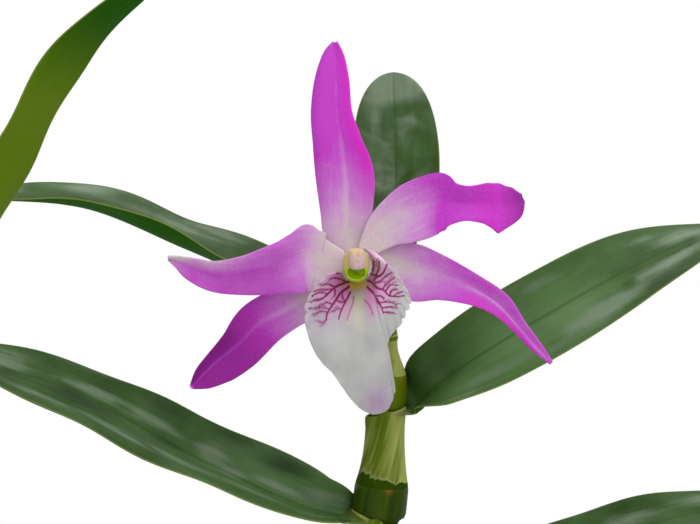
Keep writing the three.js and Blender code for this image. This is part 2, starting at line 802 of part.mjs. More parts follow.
// The ovary and its stalk, from behind the flower back and down to the cane's upper ring.
const PEDICEL = [
  [-0.1, -1, -2.9, 2.3],
  [0, -1.3, -5, 2.1],
  [0.4, -2.6, -9.5, 1.6],
  [2, -7, -12, 1.1],
  [3.9, -14, -12.3, 1],
  [5.1, -20.5, -12.9, 1.1],
  [5.2, -23.3, -15.2, 1.3],
];

const root = new THREE.Group();
const bloom = new THREE.Group();
bloom.position.set(...BLOOM.centre);
bloom.rotation.x = Math.PI / 2 - radians(BLOOM.tiltBack);
root.add(bloom);

function place(group, name, geometry, colour, roughness) {
  const material = new THREE.MeshStandardMaterial({ color: colour, roughness, metalness: 0 });
  const mesh = new THREE.Mesh(geometry, material);
  mesh.name = name;
  group.add(mesh);
}

const stems = Manifold.union(Object.values(CANES).map((cane) => stem(cane, GAP)));
const bark = barkFill().subtract(rhizomeWithRoots(1.5 * GAP)).subtract(stems);
place(root, "clay_pot", toGeometry(clayPot()), COLOUR.clay, 0.85);
place(root, "bark_fill", toGeometry(bark), COLOUR.bark, 0.9);
const rhizome = rhizomeWithRoots(0).subtract(stems);
place(root, "rhizome_roots", toGeometry(rhizome), COLOUR.root, 0.8);
for (const [name, cane] of Object.entries(CANES)) {
  place(root, `cane_${name}`, toGeometry(stem(cane, 0)), COLOUR.cane, 0.5);
  for (const [ring, leaf] of Object.entries(cane.leaves)) {
    const made = toGeometry(leafWithSheath(cane, Number(ring), leaf));
    place(root, `leaf_${name}_${ring}`, made, COLOUR.leaf, 0.4);
  }
}
place(bloom, "pedicel", wand(PEDICEL, 10, 8), COLOUR.pedicel, 0.5);
for (const [name, rows] of Object.entries(TEPALS)) {
  const colour = name.startsWith("petal") ? COLOUR.petal : COLOUR.sepal;
  place(bloom, name, tepal(rows), colour, 0.55);
}
place(bloom, "lip", lip(), COLOUR.lip, 0.55);
place(bloom, "column", column(), COLOUR.column, 0.5);
place(bloom, "anther_cap", antherCap(), COLOUR.cap, 0.5);

export default root;
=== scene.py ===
"""A potted dendrobium orchid in bloom: a clay pot of bark, a creeping rhizome with its roots, three
jointed canes in leaf, and one open flower on the leading cane. Lengths are worked out in
millimetres and become metres where a mesh is made. The front is towards -Y."""
import math

import bpy
import numpy as np
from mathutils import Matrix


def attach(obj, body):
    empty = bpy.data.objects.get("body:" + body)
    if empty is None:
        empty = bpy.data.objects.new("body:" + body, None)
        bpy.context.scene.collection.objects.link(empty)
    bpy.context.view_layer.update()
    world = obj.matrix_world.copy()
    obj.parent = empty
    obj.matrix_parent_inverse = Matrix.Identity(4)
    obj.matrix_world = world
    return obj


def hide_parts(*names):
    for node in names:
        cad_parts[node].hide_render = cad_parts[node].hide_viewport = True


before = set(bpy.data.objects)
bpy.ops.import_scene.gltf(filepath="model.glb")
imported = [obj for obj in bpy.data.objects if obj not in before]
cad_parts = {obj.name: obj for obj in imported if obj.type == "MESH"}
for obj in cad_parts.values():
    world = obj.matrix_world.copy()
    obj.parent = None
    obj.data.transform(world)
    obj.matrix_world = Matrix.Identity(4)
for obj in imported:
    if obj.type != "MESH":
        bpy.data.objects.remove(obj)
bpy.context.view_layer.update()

# The clay pot: a plain flower pot of red earthenware, pressed and turned in one piece and fired
# without glaze. Its wall leans out to a thick rim, and its flat floor has four drain holes.
MM = 0.001
POT = {
    "height": 96, "foot": 38, "mouth": 52, "wall": 4.5, "floor": 6,
    "rim_height": 18, "rim_proud": 3.2, "drain": 5, "drain_circle": 20, "sides": 112,
}


def linear(code):
    """An sRGB hex colour as linear red, green and blue, with an alpha of 1."""
    share = np.array([int(code[k:k + 2], 16) / 255 for k in (1, 3, 5)])
    straight = np.where(share <= 0.04045, share / 12.92, ((share + 0.055) / 1.055) ** 2.4)
    return (*straight.tolist(), 1.0)


def finish(name, constants):
    """A new material whose Principled shader has these sockets set, and its node tree."""
    made = bpy.data.materials.new(name)
    made.use_nodes = True
    for socket, value in constants.items():
        made.node_tree.nodes["Principled BSDF"].inputs[socket].default_value = value
    return made, made.node_tree


def feed(material, sockets):
    """Links what feeds each of these sockets of the Principled shader. Returns the material."""
    tree = material.node_tree
    for socket, value in sockets.items():
        tree.links.new(value, tree.nodes["Principled BSDF"].inputs[socket])
    return material


def node(tree, kind, inputs=None, stops=None, **settings):
    """Adds a shader node. inputs give each socket, by name or number, a value or the socket that
    feeds it, and stops are a colour ramp's places and sRGB colours. A Mix of colours takes its
    share at 0 and its colours at 6 and 7, and gives its colour at output 2."""
    made = tree.nodes.new("ShaderNode" + kind)
    for name, value in settings.items():
        setattr(made, name, value)
    for socket, value in (inputs or {}).items():
        if isinstance(value, bpy.types.NodeSocket):
            tree.links.new(value, made.inputs[socket])
        elif isinstance(value, str):
            made.inputs[socket].default_value = linear(value)
        else:
            made.inputs[socket].default_value = value
    for k, (at, code) in enumerate(stops or []):
        ramp = made.color_ramp.elements
        stop = ramp[k] if k < 2 else ramp.new(at)
        stop.position = at
        stop.color = linear(code)
    return made


def closed_skin(rings, joined=False):
    """Quads over rings of points [ring, point, xyz], each ring a loop. The last ring joins the
    first, or else each end is closed by a strip from point k to point n - 1 - k. The quads are
    turned round if the volume that they enclose comes out negative, so that they face outwards."""
    count, n = rings.shape[:2]
    ring = np.arange(count if joined else count - 1)[:, None]
    k = np.arange(n)[None, :]
    low, high = ring * n, (ring + 1) % count * n
    quads = np.stack([low + k, low + (k + 1) % n, high + (k + 1) % n, high + k], -1).reshape(-1, 4)
    if not joined:
        j = np.arange(n // 2 - 1)
        start = np.stack([j, n - 1 - j, n - 2 - j, j + 1], -1)
        quads = np.concatenate([quads, start, (count - 1) * n + start[:, ::-1]])
    points = rings.reshape(-1, 3)
    a, b, c, d = (points[quads[:, corner]] for corner in range(4))
    volume = np.sum(a * np.cross(b, c)) + np.sum(a * np.cross(c, d))
    return points, quads if volume > 0 else quads[:, ::-1]


def skin(rings, joined=False, **facts):
    """A closed skin with its facts, which are numbers or vectors that fit the points of the rings
    or spread over them. Returns points, quads and {fact: a row for each point}."""
    points, quads = closed_skin(rings, joined)
    shape = rings.shape[:2]
    facts = {key: np.broadcast_to(value, shape + np.shape(value)[2:]).reshape(len(points), -1)
             for key, value in facts.items()}
    return points, quads, facts


def meshed(name, points, quads):
    """An object at the origin with a mesh of points in mm and quads."""
    mesh = bpy.data.meshes.new(name)
    mesh.from_pydata((points * MM).tolist(), [], quads.tolist())
    made = bpy.data.objects.new(name, mesh)
    bpy.context.scene.collection.objects.link(made)
    return made


def make_piece(name, skins, material, stands_for=(), smooth=True):
    """One object from skins, with their facts as attributes. It sits at the origin, rides on the
    root body and is finished by a material."""
    points = np.concatenate([s[0] for s in skins])
    starts = np.cumsum([0] + [len(s[0]) for s in skins[:-1]])
    quads = np.concatenate([s[1] + start for s, start in zip(skins, starts)])
    piece = meshed(name, points, quads)
    piece.data.polygons.foreach_set("use_smooth", np.full(len(quads), smooth))
    for key, first in skins[0][2].items():
        kind, part = ("FLOAT_VECTOR", "vector") if first.shape[-1] == 3 else ("FLOAT", "value")
        values = np.concatenate([s[2][key] for s in skins]).astype(float)
        piece.data.attributes.new(key, kind, "POINT").data.foreach_set(part, values.ravel())
    piece.data.materials.append(material)
    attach(piece, "root")
    if stands_for:
        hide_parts(*stands_for)
    return piece


def rounded(corners, radius, steps=6):
    """An open outline whose inner corners are cut back by a radius along both sides and rounded
    by a quadratic curve with the corner as its handle."""
    rows = [np.asarray(corners[:1], float)]
    for back, here, ahead in zip(corners, corners[1:], corners[2:]):
        back, here, ahead = (np.asarray(p, float) for p in (back, here, ahead))
        cut = [(p - here) / np.linalg.norm(p - here) for p in (back, ahead)]
        reach = [min(radius, 0.45 * np.linalg.norm(p - here)) for p in (back, ahead)]
        t = np.linspace(0, 1, steps)[:, None]
        start, end = here + cut[0] * reach[0], here + cut[1] * reach[1]
        rows.append((1 - t) ** 2 * start + 2 * t * (1 - t) * here + t ** 2 * end)
    rows.append(np.asarray(corners[-1:], float))
    return np.concatenate(rows)


def lengths(rows):
    """How far each row is from the first, along the straight stretches between them."""
    return np.concatenate([[0], np.cumsum(np.linalg.norm(np.diff(rows, axis=0), axis=1))])


def evenly_along(rows, count):
    """Points spaced evenly along the straight stretches between rows, from first to last."""
    run = lengths(rows)
    want = np.linspace(0, run[-1], count)
    return np.stack([np.interp(want, run, rows[:, k]) for k in range(rows.shape[1])], -1)


def turned(outline, sides):
    """A turned body: each point [radius, height] of an outline swept round the Z axis."""
    turn = np.linspace(0, 2 * math.pi, sides, endpoint=False) + math.pi / sides
    radius, height = outline[:, 0, None], outline[:, 1, None]
    return np.stack([radius * np.cos(turn), radius * np.sin(turn), height + 0 * turn], -1)


def fired_terracotta():
    """Unglazed red earthenware: dry, matt and porous, with a fine grain, cloudy firing marks and
    a pale bloom of salts where water dries off it."""
    made, tree = finish("fired_terracotta", {"IOR": 1.5, "Diffuse Roughness": 0.6})
    place = node(tree, "TexCoord").outputs["Object"]
    cloud = node(tree, "TexNoise", {"Vector": place, "Scale": 1 / (26 * MM), "Detail": 4})
    grain = node(tree, "TexNoise", {"Vector": place, "Scale": 1 / (0.9 * MM), "Detail": 3})
    clay = node(tree, "ValToRGB", {"Fac": cloud.outputs["Fac"]}, stops=[
        (0.3, "#8f4a2b"), (0.72, "#c07a52"), (0.5, "#ab6039")]).outputs[0]
    speck = node(tree, "MapRange", {"Value": grain.outputs["Fac"], "From Min": 0.3, "From Max": 0.7})
    clay = node(tree, "Mix", {0: 0.35, 6: clay, 7: speck.outputs[0]}, data_type="RGBA",
                blend_type="SOFT_LIGHT").outputs[2]
    height = node(tree, "SeparateXYZ", {0: place}).outputs["Z"]
    foot = node(tree, "MapRange", {"Value": height, "From Min": 0.034, "From Max": 0.0})
    rim = node(tree, "MapRange", {"Value": height, "From Min": 0.07, "From Max": 0.098})
    dries = node(tree, "Math", {0: foot.outputs[0], 1: rim.outputs[0]}, operation="MAXIMUM")
    patch = node(tree, "TexNoise", {"Vector": place, "Scale": 1 / (11 * MM), "Detail": 6,
                                    "Roughness": 0.65})
    bloom = node(tree, "Math", {0: patch.outputs["Fac"], 1: dries.outputs[0]}, operation="MULTIPLY")
    bloom = node(tree, "MapRange", {"Value": bloom.outputs[0], "From Min": 0.3, "From Max": 0.62,
                                    "To Max": 0.75}, interpolation_type="SMOOTHSTEP")
    clay = node(tree, "Mix", {0: bloom.outputs[0], 6: clay, 7: "#d8c2ae"}, data_type="RGBA").outputs[2]
    rough = node(tree, "MapRange", {"Value": cloud.outputs["Fac"], "To Min": 0.78, "To Max": 0.94})
    pits = node(tree, "TexVoronoi", {"Vector": place, "Scale": 1 / (1.6 * MM)})
    pits = node(tree, "MapRange", {"Value": pits.outputs["Distance"], "From Max": 0.25})
    bump = node(tree, "Bump", {"Strength": 0.35, "Distance": 0.3 * MM, "Height": pits.outputs[0]})
    bump = node(tree, "Bump", {"Strength": 0.3, "Distance": 0.25 * MM,
                               "Height": grain.outputs["Fac"], "Normal": bump.outputs[0]})
    return feed(made, {"Base Color": clay, "Roughness": rough.outputs[0], "Normal": bump.outputs[0]})


def clay_pot():
    """The pot's outline swept round, with shallow turning lines whose depth follows a sine of the
    height, and four drain holes cut through the floor."""
    rim_foot = POT["height"] - POT["rim_height"]
    lean = (POT["mouth"] - POT["foot"]) / POT["height"]
    corners = [
        (0.3, 0),
        (POT["foot"], 0),
        (POT["foot"] + lean * rim_foot, rim_foot),
        (POT["foot"] + lean * rim_foot + POT["rim_proud"], rim_foot + 1),
        (POT["mouth"] + POT["rim_proud"], POT["height"]),
        (POT["mouth"] - POT["wall"], POT["height"]),
        (POT["foot"] + lean * POT["floor"] - POT["wall"], POT["floor"]),
        (0.3, POT["floor"]),
    ]
    outline = evenly_along(rounded(corners, 2.2), 260)
    wall = np.clip((outline[:, 1] - 4) / 6, 0, 1) * np.clip((POT["height"] - 4 - outline[:, 1]) / 6, 0, 1)
    outline[:, 0] += wall * (0.09 * np.sin(outline[:, 1] * 2.6) + 0.06 * np.sin(outline[:, 1] * 1.15 + 1))
    body = skin(turned(outline, POT["sides"]))
    pot = make_piece("clay_pot_fired", [body], fired_terracotta(), ["clay_pot"])
    for turn in np.radians([45, 135, 225, 315]):
        drill = evenly_along(np.array([(POT["drain"], -2.0), (POT["drain"], POT["floor"] + 2.0)]), 6)
        hole, faces = closed_skin(turned(drill, 32))
        hole = hole + POT["drain_circle"] * np.array([math.cos(turn), math.sin(turn), 0])
        cutter = meshed("drill", hole, faces)
        cut = pot.modifiers.new("drain", "BOOLEAN")
        cut.object = cutter
        cut.solver = "EXACT"
        solid = pot.evaluated_get(bpy.context.evaluated_depsgraph_get())
        pot.data = bpy.data.meshes.new_from_object(solid)
        pot.modifiers.clear()
        bpy.data.objects.remove(cutter)


clay_pot()

# The bark: graded chips of pine bark, packed round the roots up to a little below the rim. The
# lower part is one body, made in place of the imported one, and its top is a jumble of loose
# angular chips.
BARK_TOP = 79
CHIP = {"count": 250, "length": 15, "width": 9.5, "height": 5, "tilt": 24, "from_wall": 6.5}
GOLDEN_ANGLE = 2.39996


def pine_bark():
    """Composted pine bark: flaky plates in layers of red-brown cork and dark grey-brown crust,
    dull and fibrous when dry."""
    made, tree = finish("pine_bark", {"IOR": 1.45, "Diffuse Roughness": 0.5})
    place = node(tree, "TexCoord").outputs["Object"]
    layer = node(tree, "TexNoise", {"Vector": place, "Scale": 1 / (7 * MM), "Detail": 5,
                                    "Distortion": 0.8})
    own = node(tree, "Attribute", attribute_name="own_shade").outputs["Fac"]
    mixed = node(tree, "Math", {0: layer.outputs["Fac"], 1: own}, operation="ADD")
    mixed = node(tree, "Math", {0: mixed.outputs[0], 1: 0.5}, operation="MULTIPLY")
    cork = node(tree, "ValToRGB", {"Fac": mixed.outputs[0]}, stops=[
        (0.25, "#2c1c13"), (0.75, "#a3714a"), (0.42, "#4f3322"), (0.58, "#7a4d30")]).outputs[0]
    fibre = node(tree, "TexNoise", {"Vector": place, "Scale": 1 / (0.7 * MM), "Detail": 3})
    cork = node(tree, "Mix", {0: 0.5, 6: cork, 7: fibre.outputs["Color"]}, data_type="RGBA",
                blend_type="SOFT_LIGHT").outputs[2]
    rough = node(tree, "MapRange", {"Value": fibre.outputs["Fac"], "To Min": 0.8, "To Max": 0.97})
    bump = node(tree, "Bump", {"Strength": 0.7, "Distance": 0.5 * MM, "Height": layer.outputs["Fac"]})
    bump = node(tree, "Bump", {"Strength": 0.6, "Distance": 0.2 * MM,
                               "Height": fibre.outputs["Fac"], "Normal": bump.outputs[0]})
    return feed(made, {"Base Color": cork, "Roughness": rough.outputs[0], "Normal": bump.outputs[0]})


def turned_about(points, angle, axis):
    """Points [piece, point, xyz] turned by an angle a piece about one of the axes 0, 1 or 2."""
    c, s = np.cos(angle)[:, None], np.sin(angle)[:, None]
    out = points.copy()
    j, k = (axis + 1) % 3, (axis + 2) % 3
    out[..., j] = c * points[..., j] - s * points[..., k]
    out[..., k] = s * points[..., j] + c * points[..., k]
    return out


def bark_chips(draw, inner):
    """Chips as short bars of seven rough rings with twelve corners. Every ring is a squared oval,
    the ends are narrower, and each corner is pushed by a random share. They lie on a sunflower
    spiral over the round top, tilted up to 24 degrees, and higher towards the middle."""
    count, rings, n = CHIP["count"], 7, 12
    along = np.linspace(-1, 1, rings)[None, :, None]
    turn = np.linspace(0, 2 * math.pi, n, endpoint=False)[None, None, :] + 0.26
    squared = (np.abs(np.cos(turn)) ** 6 + np.abs(np.sin(turn)) ** 6) ** (-1 / 6)
    taper = 1 - 0.35 * np.abs(along + draw.uniform(-0.3, 0.3, (count, 1, 1))) ** 3
    rough = 1 + draw.uniform(-0.16, 0.16, (count, rings, n))
    size = draw.uniform(0.55, 1.25, (count, 1, 1))
    wide = CHIP["width"] / 2 * size * draw.uniform(0.75, 1.25, (count, 1, 1))
    high = CHIP["height"] / 2 * size * draw.uniform(0.7, 1.3, (count, 1, 1))
    ends = draw.uniform(-0.12, 0.12, (count, rings, n)) * (np.abs(along) > 0.9)
    chip = np.stack([
        CHIP["length"] / 2 * size * (along + ends),
        wide * taper * rough * squared * np.cos(turn),
        high * taper * rough * squared * np.sin(turn) + 0 * along,
    ], -1).reshape(count, rings * n, 3)
    for axis in (0, 1):
        tilt = np.radians(draw.uniform(-CHIP["tilt"], CHIP["tilt"], count))
        chip = turned_about(chip, tilt, axis)
    chip = turned_about(chip, draw.uniform(0, 2 * math.pi, count), 2)
    order = draw.permutation(count)
    away = (inner - CHIP["from_wall"]) * np.sqrt((order + 0.5) / count)
    spin = order * GOLDEN_ANGLE
    lift = BARK_TOP - 4.4 + draw.uniform(-1.6, 2.2, count) + 1.2 * (1 - away / inner)
    chip += np.stack([away * np.cos(spin), away * np.sin(spin), lift], -1)[:, None, :]
    quads = closed_skin(chip[0].reshape(rings, n, 3))[1]
    every = (quads[None] + np.arange(count)[:, None, None] * rings * n).reshape(-1, 4)
    shade = np.repeat(draw.uniform(0.2, 0.85, count), rings * n)
    return chip.reshape(-1, 3), every, {"own_shade": shade[:, None]}


def bark_fill():
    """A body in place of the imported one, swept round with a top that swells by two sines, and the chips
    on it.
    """
    draw = np.random.default_rng(7)
    lean = (POT["mouth"] - POT["foot"]) / POT["height"]
    inside = lambda z: POT["foot"] + lean * z - POT["wall"] - 0.7
    low, high = POT["floor"] + 0.3, BARK_TOP - 4
    corners = [(0.3, low), (inside(low), low), (inside(high), high), (0.3, high + 1.5)]
    body = turned(evenly_along(rounded(corners, 1.5), 70), 72)
    swell = np.sin(body[..., 0] * 0.55) * np.sin(body[..., 1] * 0.6 + 1)
    body[..., 2] += swell * 0.9 * (body[..., 2] > high - 0.5)
    skins = [skin(body, own_shade=0.25), bark_chips(draw, inside(high))]
    make_piece("bark_chips", skins, pine_bark(), ["bark_fill"], smooth=False)


bark_fill()

# The rhizome and its roots: a woody creeping stem, half sunk in the bark and wrapped in the brown
# rags of old scales. Thick roots in a spongy silver-grey coat run from it, and two hang over the
# pot's rim. It all grew as one. Rows are [x, y, z, radius].
RHIZOME = [
    [-36, -12, 77.5, 2.4], [-28, -8, 79, 4.4], [-20, -3, 79.5, 3.6], [-13, 3, 80, 4.8],
    [-4, 8, 79.5, 3.6], [5, 12, 79.5, 4.6], [13, 17, 79, 4.2], [20, 20, 77, 2],
]
ROOTS = [
    [[-13, 3, 80, 1.5], [-14, -10, 82, 1.3], [-8, -24, 81, 1.2], [3, -34, 75, 1]],
    [[-20, -3, 79, 1.4], [-24, -14, 82, 1.3], [-22, -28, 80.5, 1.2], [-14, -38, 74, 1]],
    [[-4, 8, 79, 1.4], [8, 2, 82, 1.3], [21, -6, 81, 1.2], [33, -10, 75, 1]],
    [[5, 12, 79, 1.4], [16, 8, 82, 1.3], [29, 8, 81, 1.2], [39, 12, 75, 1]],
    [[-4, 8, 79, 1.4], [-2, 20, 82, 1.3], [4, 31, 81, 1.2], [12, 39, 75, 1]],
    [
        [-28, -8, 80, 1.5], [-36, -16, 88, 1.4], [-45, -24, 98.5, 1.4],
        [-52.5, -28, 93, 1.4], [-55.5, -30, 76, 1.3], [-55, -33, 55, 1.1],
    ],
    [
        [13, 17, 80, 1.5], [26, 20, 90, 1.4], [45, 23, 99, 1.4],
        [55.5, 25, 93, 1.4], [58, 24, 80, 1.3], [57, 20, 66, 1.1],
    ],
]


def through(rows, place):
    """A smooth line through rows of numbers, by uniform Catmull-Rom with its ends held. place is
    an array, 0 at the first row and 1 at the next."""
    rows = np.asarray(rows, float)
    place = np.asarray(place, float)
    i = np.clip(np.floor(place).astype(int), 0, len(rows) - 2)
    f = (place - i)[..., None]
    a, b, c, d = (rows[np.clip(i + step, 0, len(rows) - 1)] for step in (-1, 0, 1, 2))
    cubic = f ** 3 * (3 * b - a - 3 * c + d)
    return 0.5 * (2 * b + f * (c - a) + f * f * (2 * a - 5 * b + 4 * c - d) + cubic)


def unit(vectors):
    """Vectors brought to a length of 1 along the last axis."""
    return vectors / np.linalg.norm(vectors, axis=-1, keepdims=True)


def direction(line, place, step, end):
    """Which way a line(place) runs, from a step behind each place to a step ahead of it."""
    ahead, behind = (line(np.clip(place + by, 0, end))[..., :3] for by in (step, -step))
    return unit(ahead - behind)


def turns(sides):
    """The turns of the points of a ring, in radians."""
    return 2 * math.pi * (np.arange(sides) + 0.5) / sides


def squares(along):
    """Two directions square to a line and to each other, which turn smoothly as it bends."""
    side = unit(np.cross(along, [0.31, -0.95, 0.02]))
    return side, np.cross(along, side)


def rod(centre, along, radius, sides, tilt=None):
    """Rings round a line: the centre plus a radius times the cosine and sine of the turn along
    two directions square to the line. A tilt moves each point along the line by its offset's
    share of the tilt. Also gives the same rod laid out straight, for patterns."""
    side, front = squares(along)
    turn = turns(sides)
    out = side[:, None] * np.cos(turn)[:, None] + front[:, None] * np.sin(turn)[:, None]
    out = out * radius[..., None]
    if tilt is not None:
        out = out + along[:, None] * np.sum(out * tilt[:, None], -1, keepdims=True)
    run = lengths(centre)
    flat = np.stack([radius * np.cos(turn), radius * np.sin(turn), run[:, None] + 0 * turn], -1)
    return centre[:, None] + out, flat


def wand(rows, steps, sides, relief=None):
    """A rod along the smooth line of rows [x, y, z, radius]. relief(share, turn) adds to the
    radius."""
    place = np.linspace(0, len(rows) - 1, steps)
    line = through(rows, place)
    along = direction(lambda at: through(rows, at), place, 0.05, len(rows) - 1)
    turn = turns(sides)
    radius = line[:, 3:] + 0 * turn
    if relief:
        radius = radius + relief(np.linspace(0, 1, steps)[:, None], turn)
    return rod(line[:, :3], along, radius, sides)


def root_velamen():
    """The spongy dead coat of an orchid's root: silver-white and matt when dry, with green
    showing through, and brown where it has aged. Only the growing tip is bare and green."""
    made, tree = finish("root_velamen", {"IOR": 1.4, "Roughness": 0.72})
    place = node(tree, "Attribute", attribute_name="straight").outputs["Vector"]
    tip = node(tree, "Attribute", attribute_name="tip").outputs["Fac"]
    wood = node(tree, "Attribute", attribute_name="wood").outputs["Fac"]
    blotch = node(tree, "TexNoise", {"Vector": place, "Scale": 1 / 5, "Detail": 4}).outputs["Fac"]
    coat = node(tree, "ValToRGB", {"Fac": blotch}, stops=[
        (0.32, "#8a8f6a"), (0.7, "#d3d2bf"), (0.5, "#b3b496")]).outputs[0]
    squashed = node(tree, "Mapping", {"Vector": place, "Scale": (1.4, 1.4, 0.25)}).outputs[0]
    thread = node(tree, "TexNoise", {"Vector": squashed, "Scale": 1.6, "Detail": 3}).outputs["Fac"]
    scale = node(tree, "ValToRGB", {"Fac": thread}, stops=[
        (0.3, "#3a2717"), (0.72, "#a98a5c"), (0.5, "#6d5030")]).outputs[0]
    colour = node(tree, "Mix", {0: wood, 6: coat, 7: scale}, data_type="RGBA").outputs[2]
    colour = node(tree, "Mix", {0: tip, 6: colour, 7: "#7f9a3c"}, data_type="RGBA").outputs[2]
    bump = node(tree, "Bump", {"Strength": 0.5, "Distance": 0.25 * MM, "Height": thread})
    return feed(made, {"Base Color": colour, "Normal": bump.outputs[0]})


def rhizome_and_roots():
    """The rhizome's radius gains saw-toothed steps where old scales overlap. The roots' radius
    gains a slow wobble, and their tips close in a quarter circle."""
    scales = lambda share, turn: 0.45 * ((share * 17 + 0.04 * np.sin(3 * turn)) % 1) - 0.35
    rings, flat = wand(RHIZOME, 200, 36, scales)
    skins = [skin(rings, straight=flat, tip=0, wood=1)]
    for k, rows in enumerate(ROOTS):
        length = 30 * (len(rows) - 1)
        closing = lambda share: np.sqrt(1 - np.clip((share - 0.97) / 0.03, 0, 0.98) ** 2)
        wobble = lambda share, turn: (
            0.07 * np.sin(share * 23 + k) + 0.05 * np.sin(share * 61 + 2 * turn)
            - (1 - closing(share)) * rows[-1][3] * 0.9
        )
        rings, flat = wand(rows, length, 16, wobble)
        tip = np.clip((np.linspace(0, 1, length)[:, None] - 0.93) / 0.03, 0, 1)
        skins.append(skin(rings, straight=flat + 40 * k, tip=tip, wood=0))
    make_piece("rhizome_with_roots", skins, root_velamen(), ["rhizome_roots"])


rhizome_and_roots()

# The canes: reed-like stems of club-shaped joints, swollen below each ring, with a bud scar on
# the ring. The young upper joints are wrapped in the green sheaths of their leaves. Lower joints
# keep the dry papery rags of theirs. Each row is a ring: [x, y, z, radius, mouth of its sheath].
SHEATH = {"share": 0.62, "wall": 0.7, "clear": 0.3, "slant": 0.3, "sunk": 0.02, "flare": 0.15}
DRY_SHEATH = {"wall": 0.22, "clear": 0.16, "flare": 0.2}
CANES = {
    "lead": [
        [-13, 3, 70, 2.8, 2.8], [-15, 2, 84, 3.4, 3.4], [-15.5, 1, 101, 4.6, 4.3],
        [-13.8, 0, 121, 5.4, 5], [-10.8, -1, 143, 5.8, 5.4], [-7.2, -2, 166.5, 5.9, 5.5],
        [-3.4, -2.7, 190, 5.9, 5.5], [-0.4, -3, 213, 5.9, 5.4], [2.2, -3, 235.5, 5.6, 5],
        [4.75, -3, 253.3, 4.95, 3.7], [5.6, -3, 274.3, 3.7, 2.1], [5.5, -2.8, 283, 1.9, 1.7],
        [6.6, -1.8, 291, 0.9, 0.9],
    ],
    "left": [
        [-28, -8, 70, 2.8, 2.8], [-31, -10, 84, 3.2, 3.2], [-35.5, -12, 104, 4.3, 4],
        [-41.5, -15, 127, 5, 4.6], [-49, -18.5, 152, 5.3, 4.9], [-56.5, -22, 178, 5.4, 5],
        [-63.5, -25.5, 204, 5.3, 4.8], [-69.5, -28, 228, 5, 4.4], [-73.5, -29.5, 250, 4.6, 3.6],
        [-75.3, -30, 270, 3.6, 2.4], [-75.8, -30, 279, 2.1, 1.9], [-76.2, -29.6, 287, 0.9, 0.9],
    ],
    "rear": [
        [9, 14, 70, 2.8, 2.8], [11.5, 18, 84, 3.2, 3.2], [16, 24, 102, 4.6, 4.2],
        [21.5, 31, 122, 5.2, 4.8], [27, 38, 143, 5.2, 4.6], [31.5, 44, 163, 4.6, 3.6],
        [34, 47, 179, 3.4, 2.3], [34.8, 48, 187, 2, 1.8], [35.2, 48.6, 194, 0.9, 0.9],
    ],
}
CANE = {"rings_a_joint": 26, "sides": 48, "groove": 0.22, "bud": 0.35}
LEAFY = {"lead": range(5, 12), "left": (6, 7, 9, 10), "rear": range(4, 8)}


def cane_line(cane, place):
    """The centre and the direction of a cane at places counted in joints from its lowest ring."""
    end = len(cane) - 1
    centre = through(cane, np.clip(place, 0, end))[..., :3]
    return centre, direction(lambda at: through(cane, at), np.asarray(place), 0.03, end)


def sheath_radius(cane, ring, f):
    """The sheath's outer radius on a joint: from the ring's to the mouth's, easing out."""
    share = np.clip(np.asarray(f) / 0.5, 0, 1)
    return cane[ring][3] + (cane[ring][4] - cane[ring][3]) * share * (2 - share)


def stem_radius(cane, leafy, place):
    """The stem's radius: it eases between keys at each ring, under the sheath, at the swelling
    above the sheath's mouth and below the next ring."""
    keys = []
    for ring in range(len(cane) - 1):
        recess = SHEATH["wall"] + SHEATH["clear"] if ring in leafy else 0
        under = lambda f: max(float(sheath_radius(cane, ring, f)) - recess, 0.8)
        above, mouth = cane[ring + 1][3], cane[ring][4]
        hug = mouth - 0.1 if mouth < 2.5 else under(0.6)
        keys += [
            (ring, cane[ring][3]), (ring + 0.05, under(0.05)), (ring + 0.32, under(0.32)),
            (ring + 0.62, hug), (ring + 0.7, max(above * 1.05, mouth + 0.2)),
            (ring + 0.95, above + 0.15),
        ]
    keys = np.array(keys + [(len(cane) - 1, cane[-1][3] * 0.6)])
    k = np.clip(np.searchsorted(keys[:, 0], place, "right") - 1, 0, len(keys) - 2)
    share = eased((place - keys[k, 0]) / (keys[k + 1, 0] - keys[k, 0]))
    return keys[k, 1] + share * (keys[k + 1, 1] - keys[k, 1])


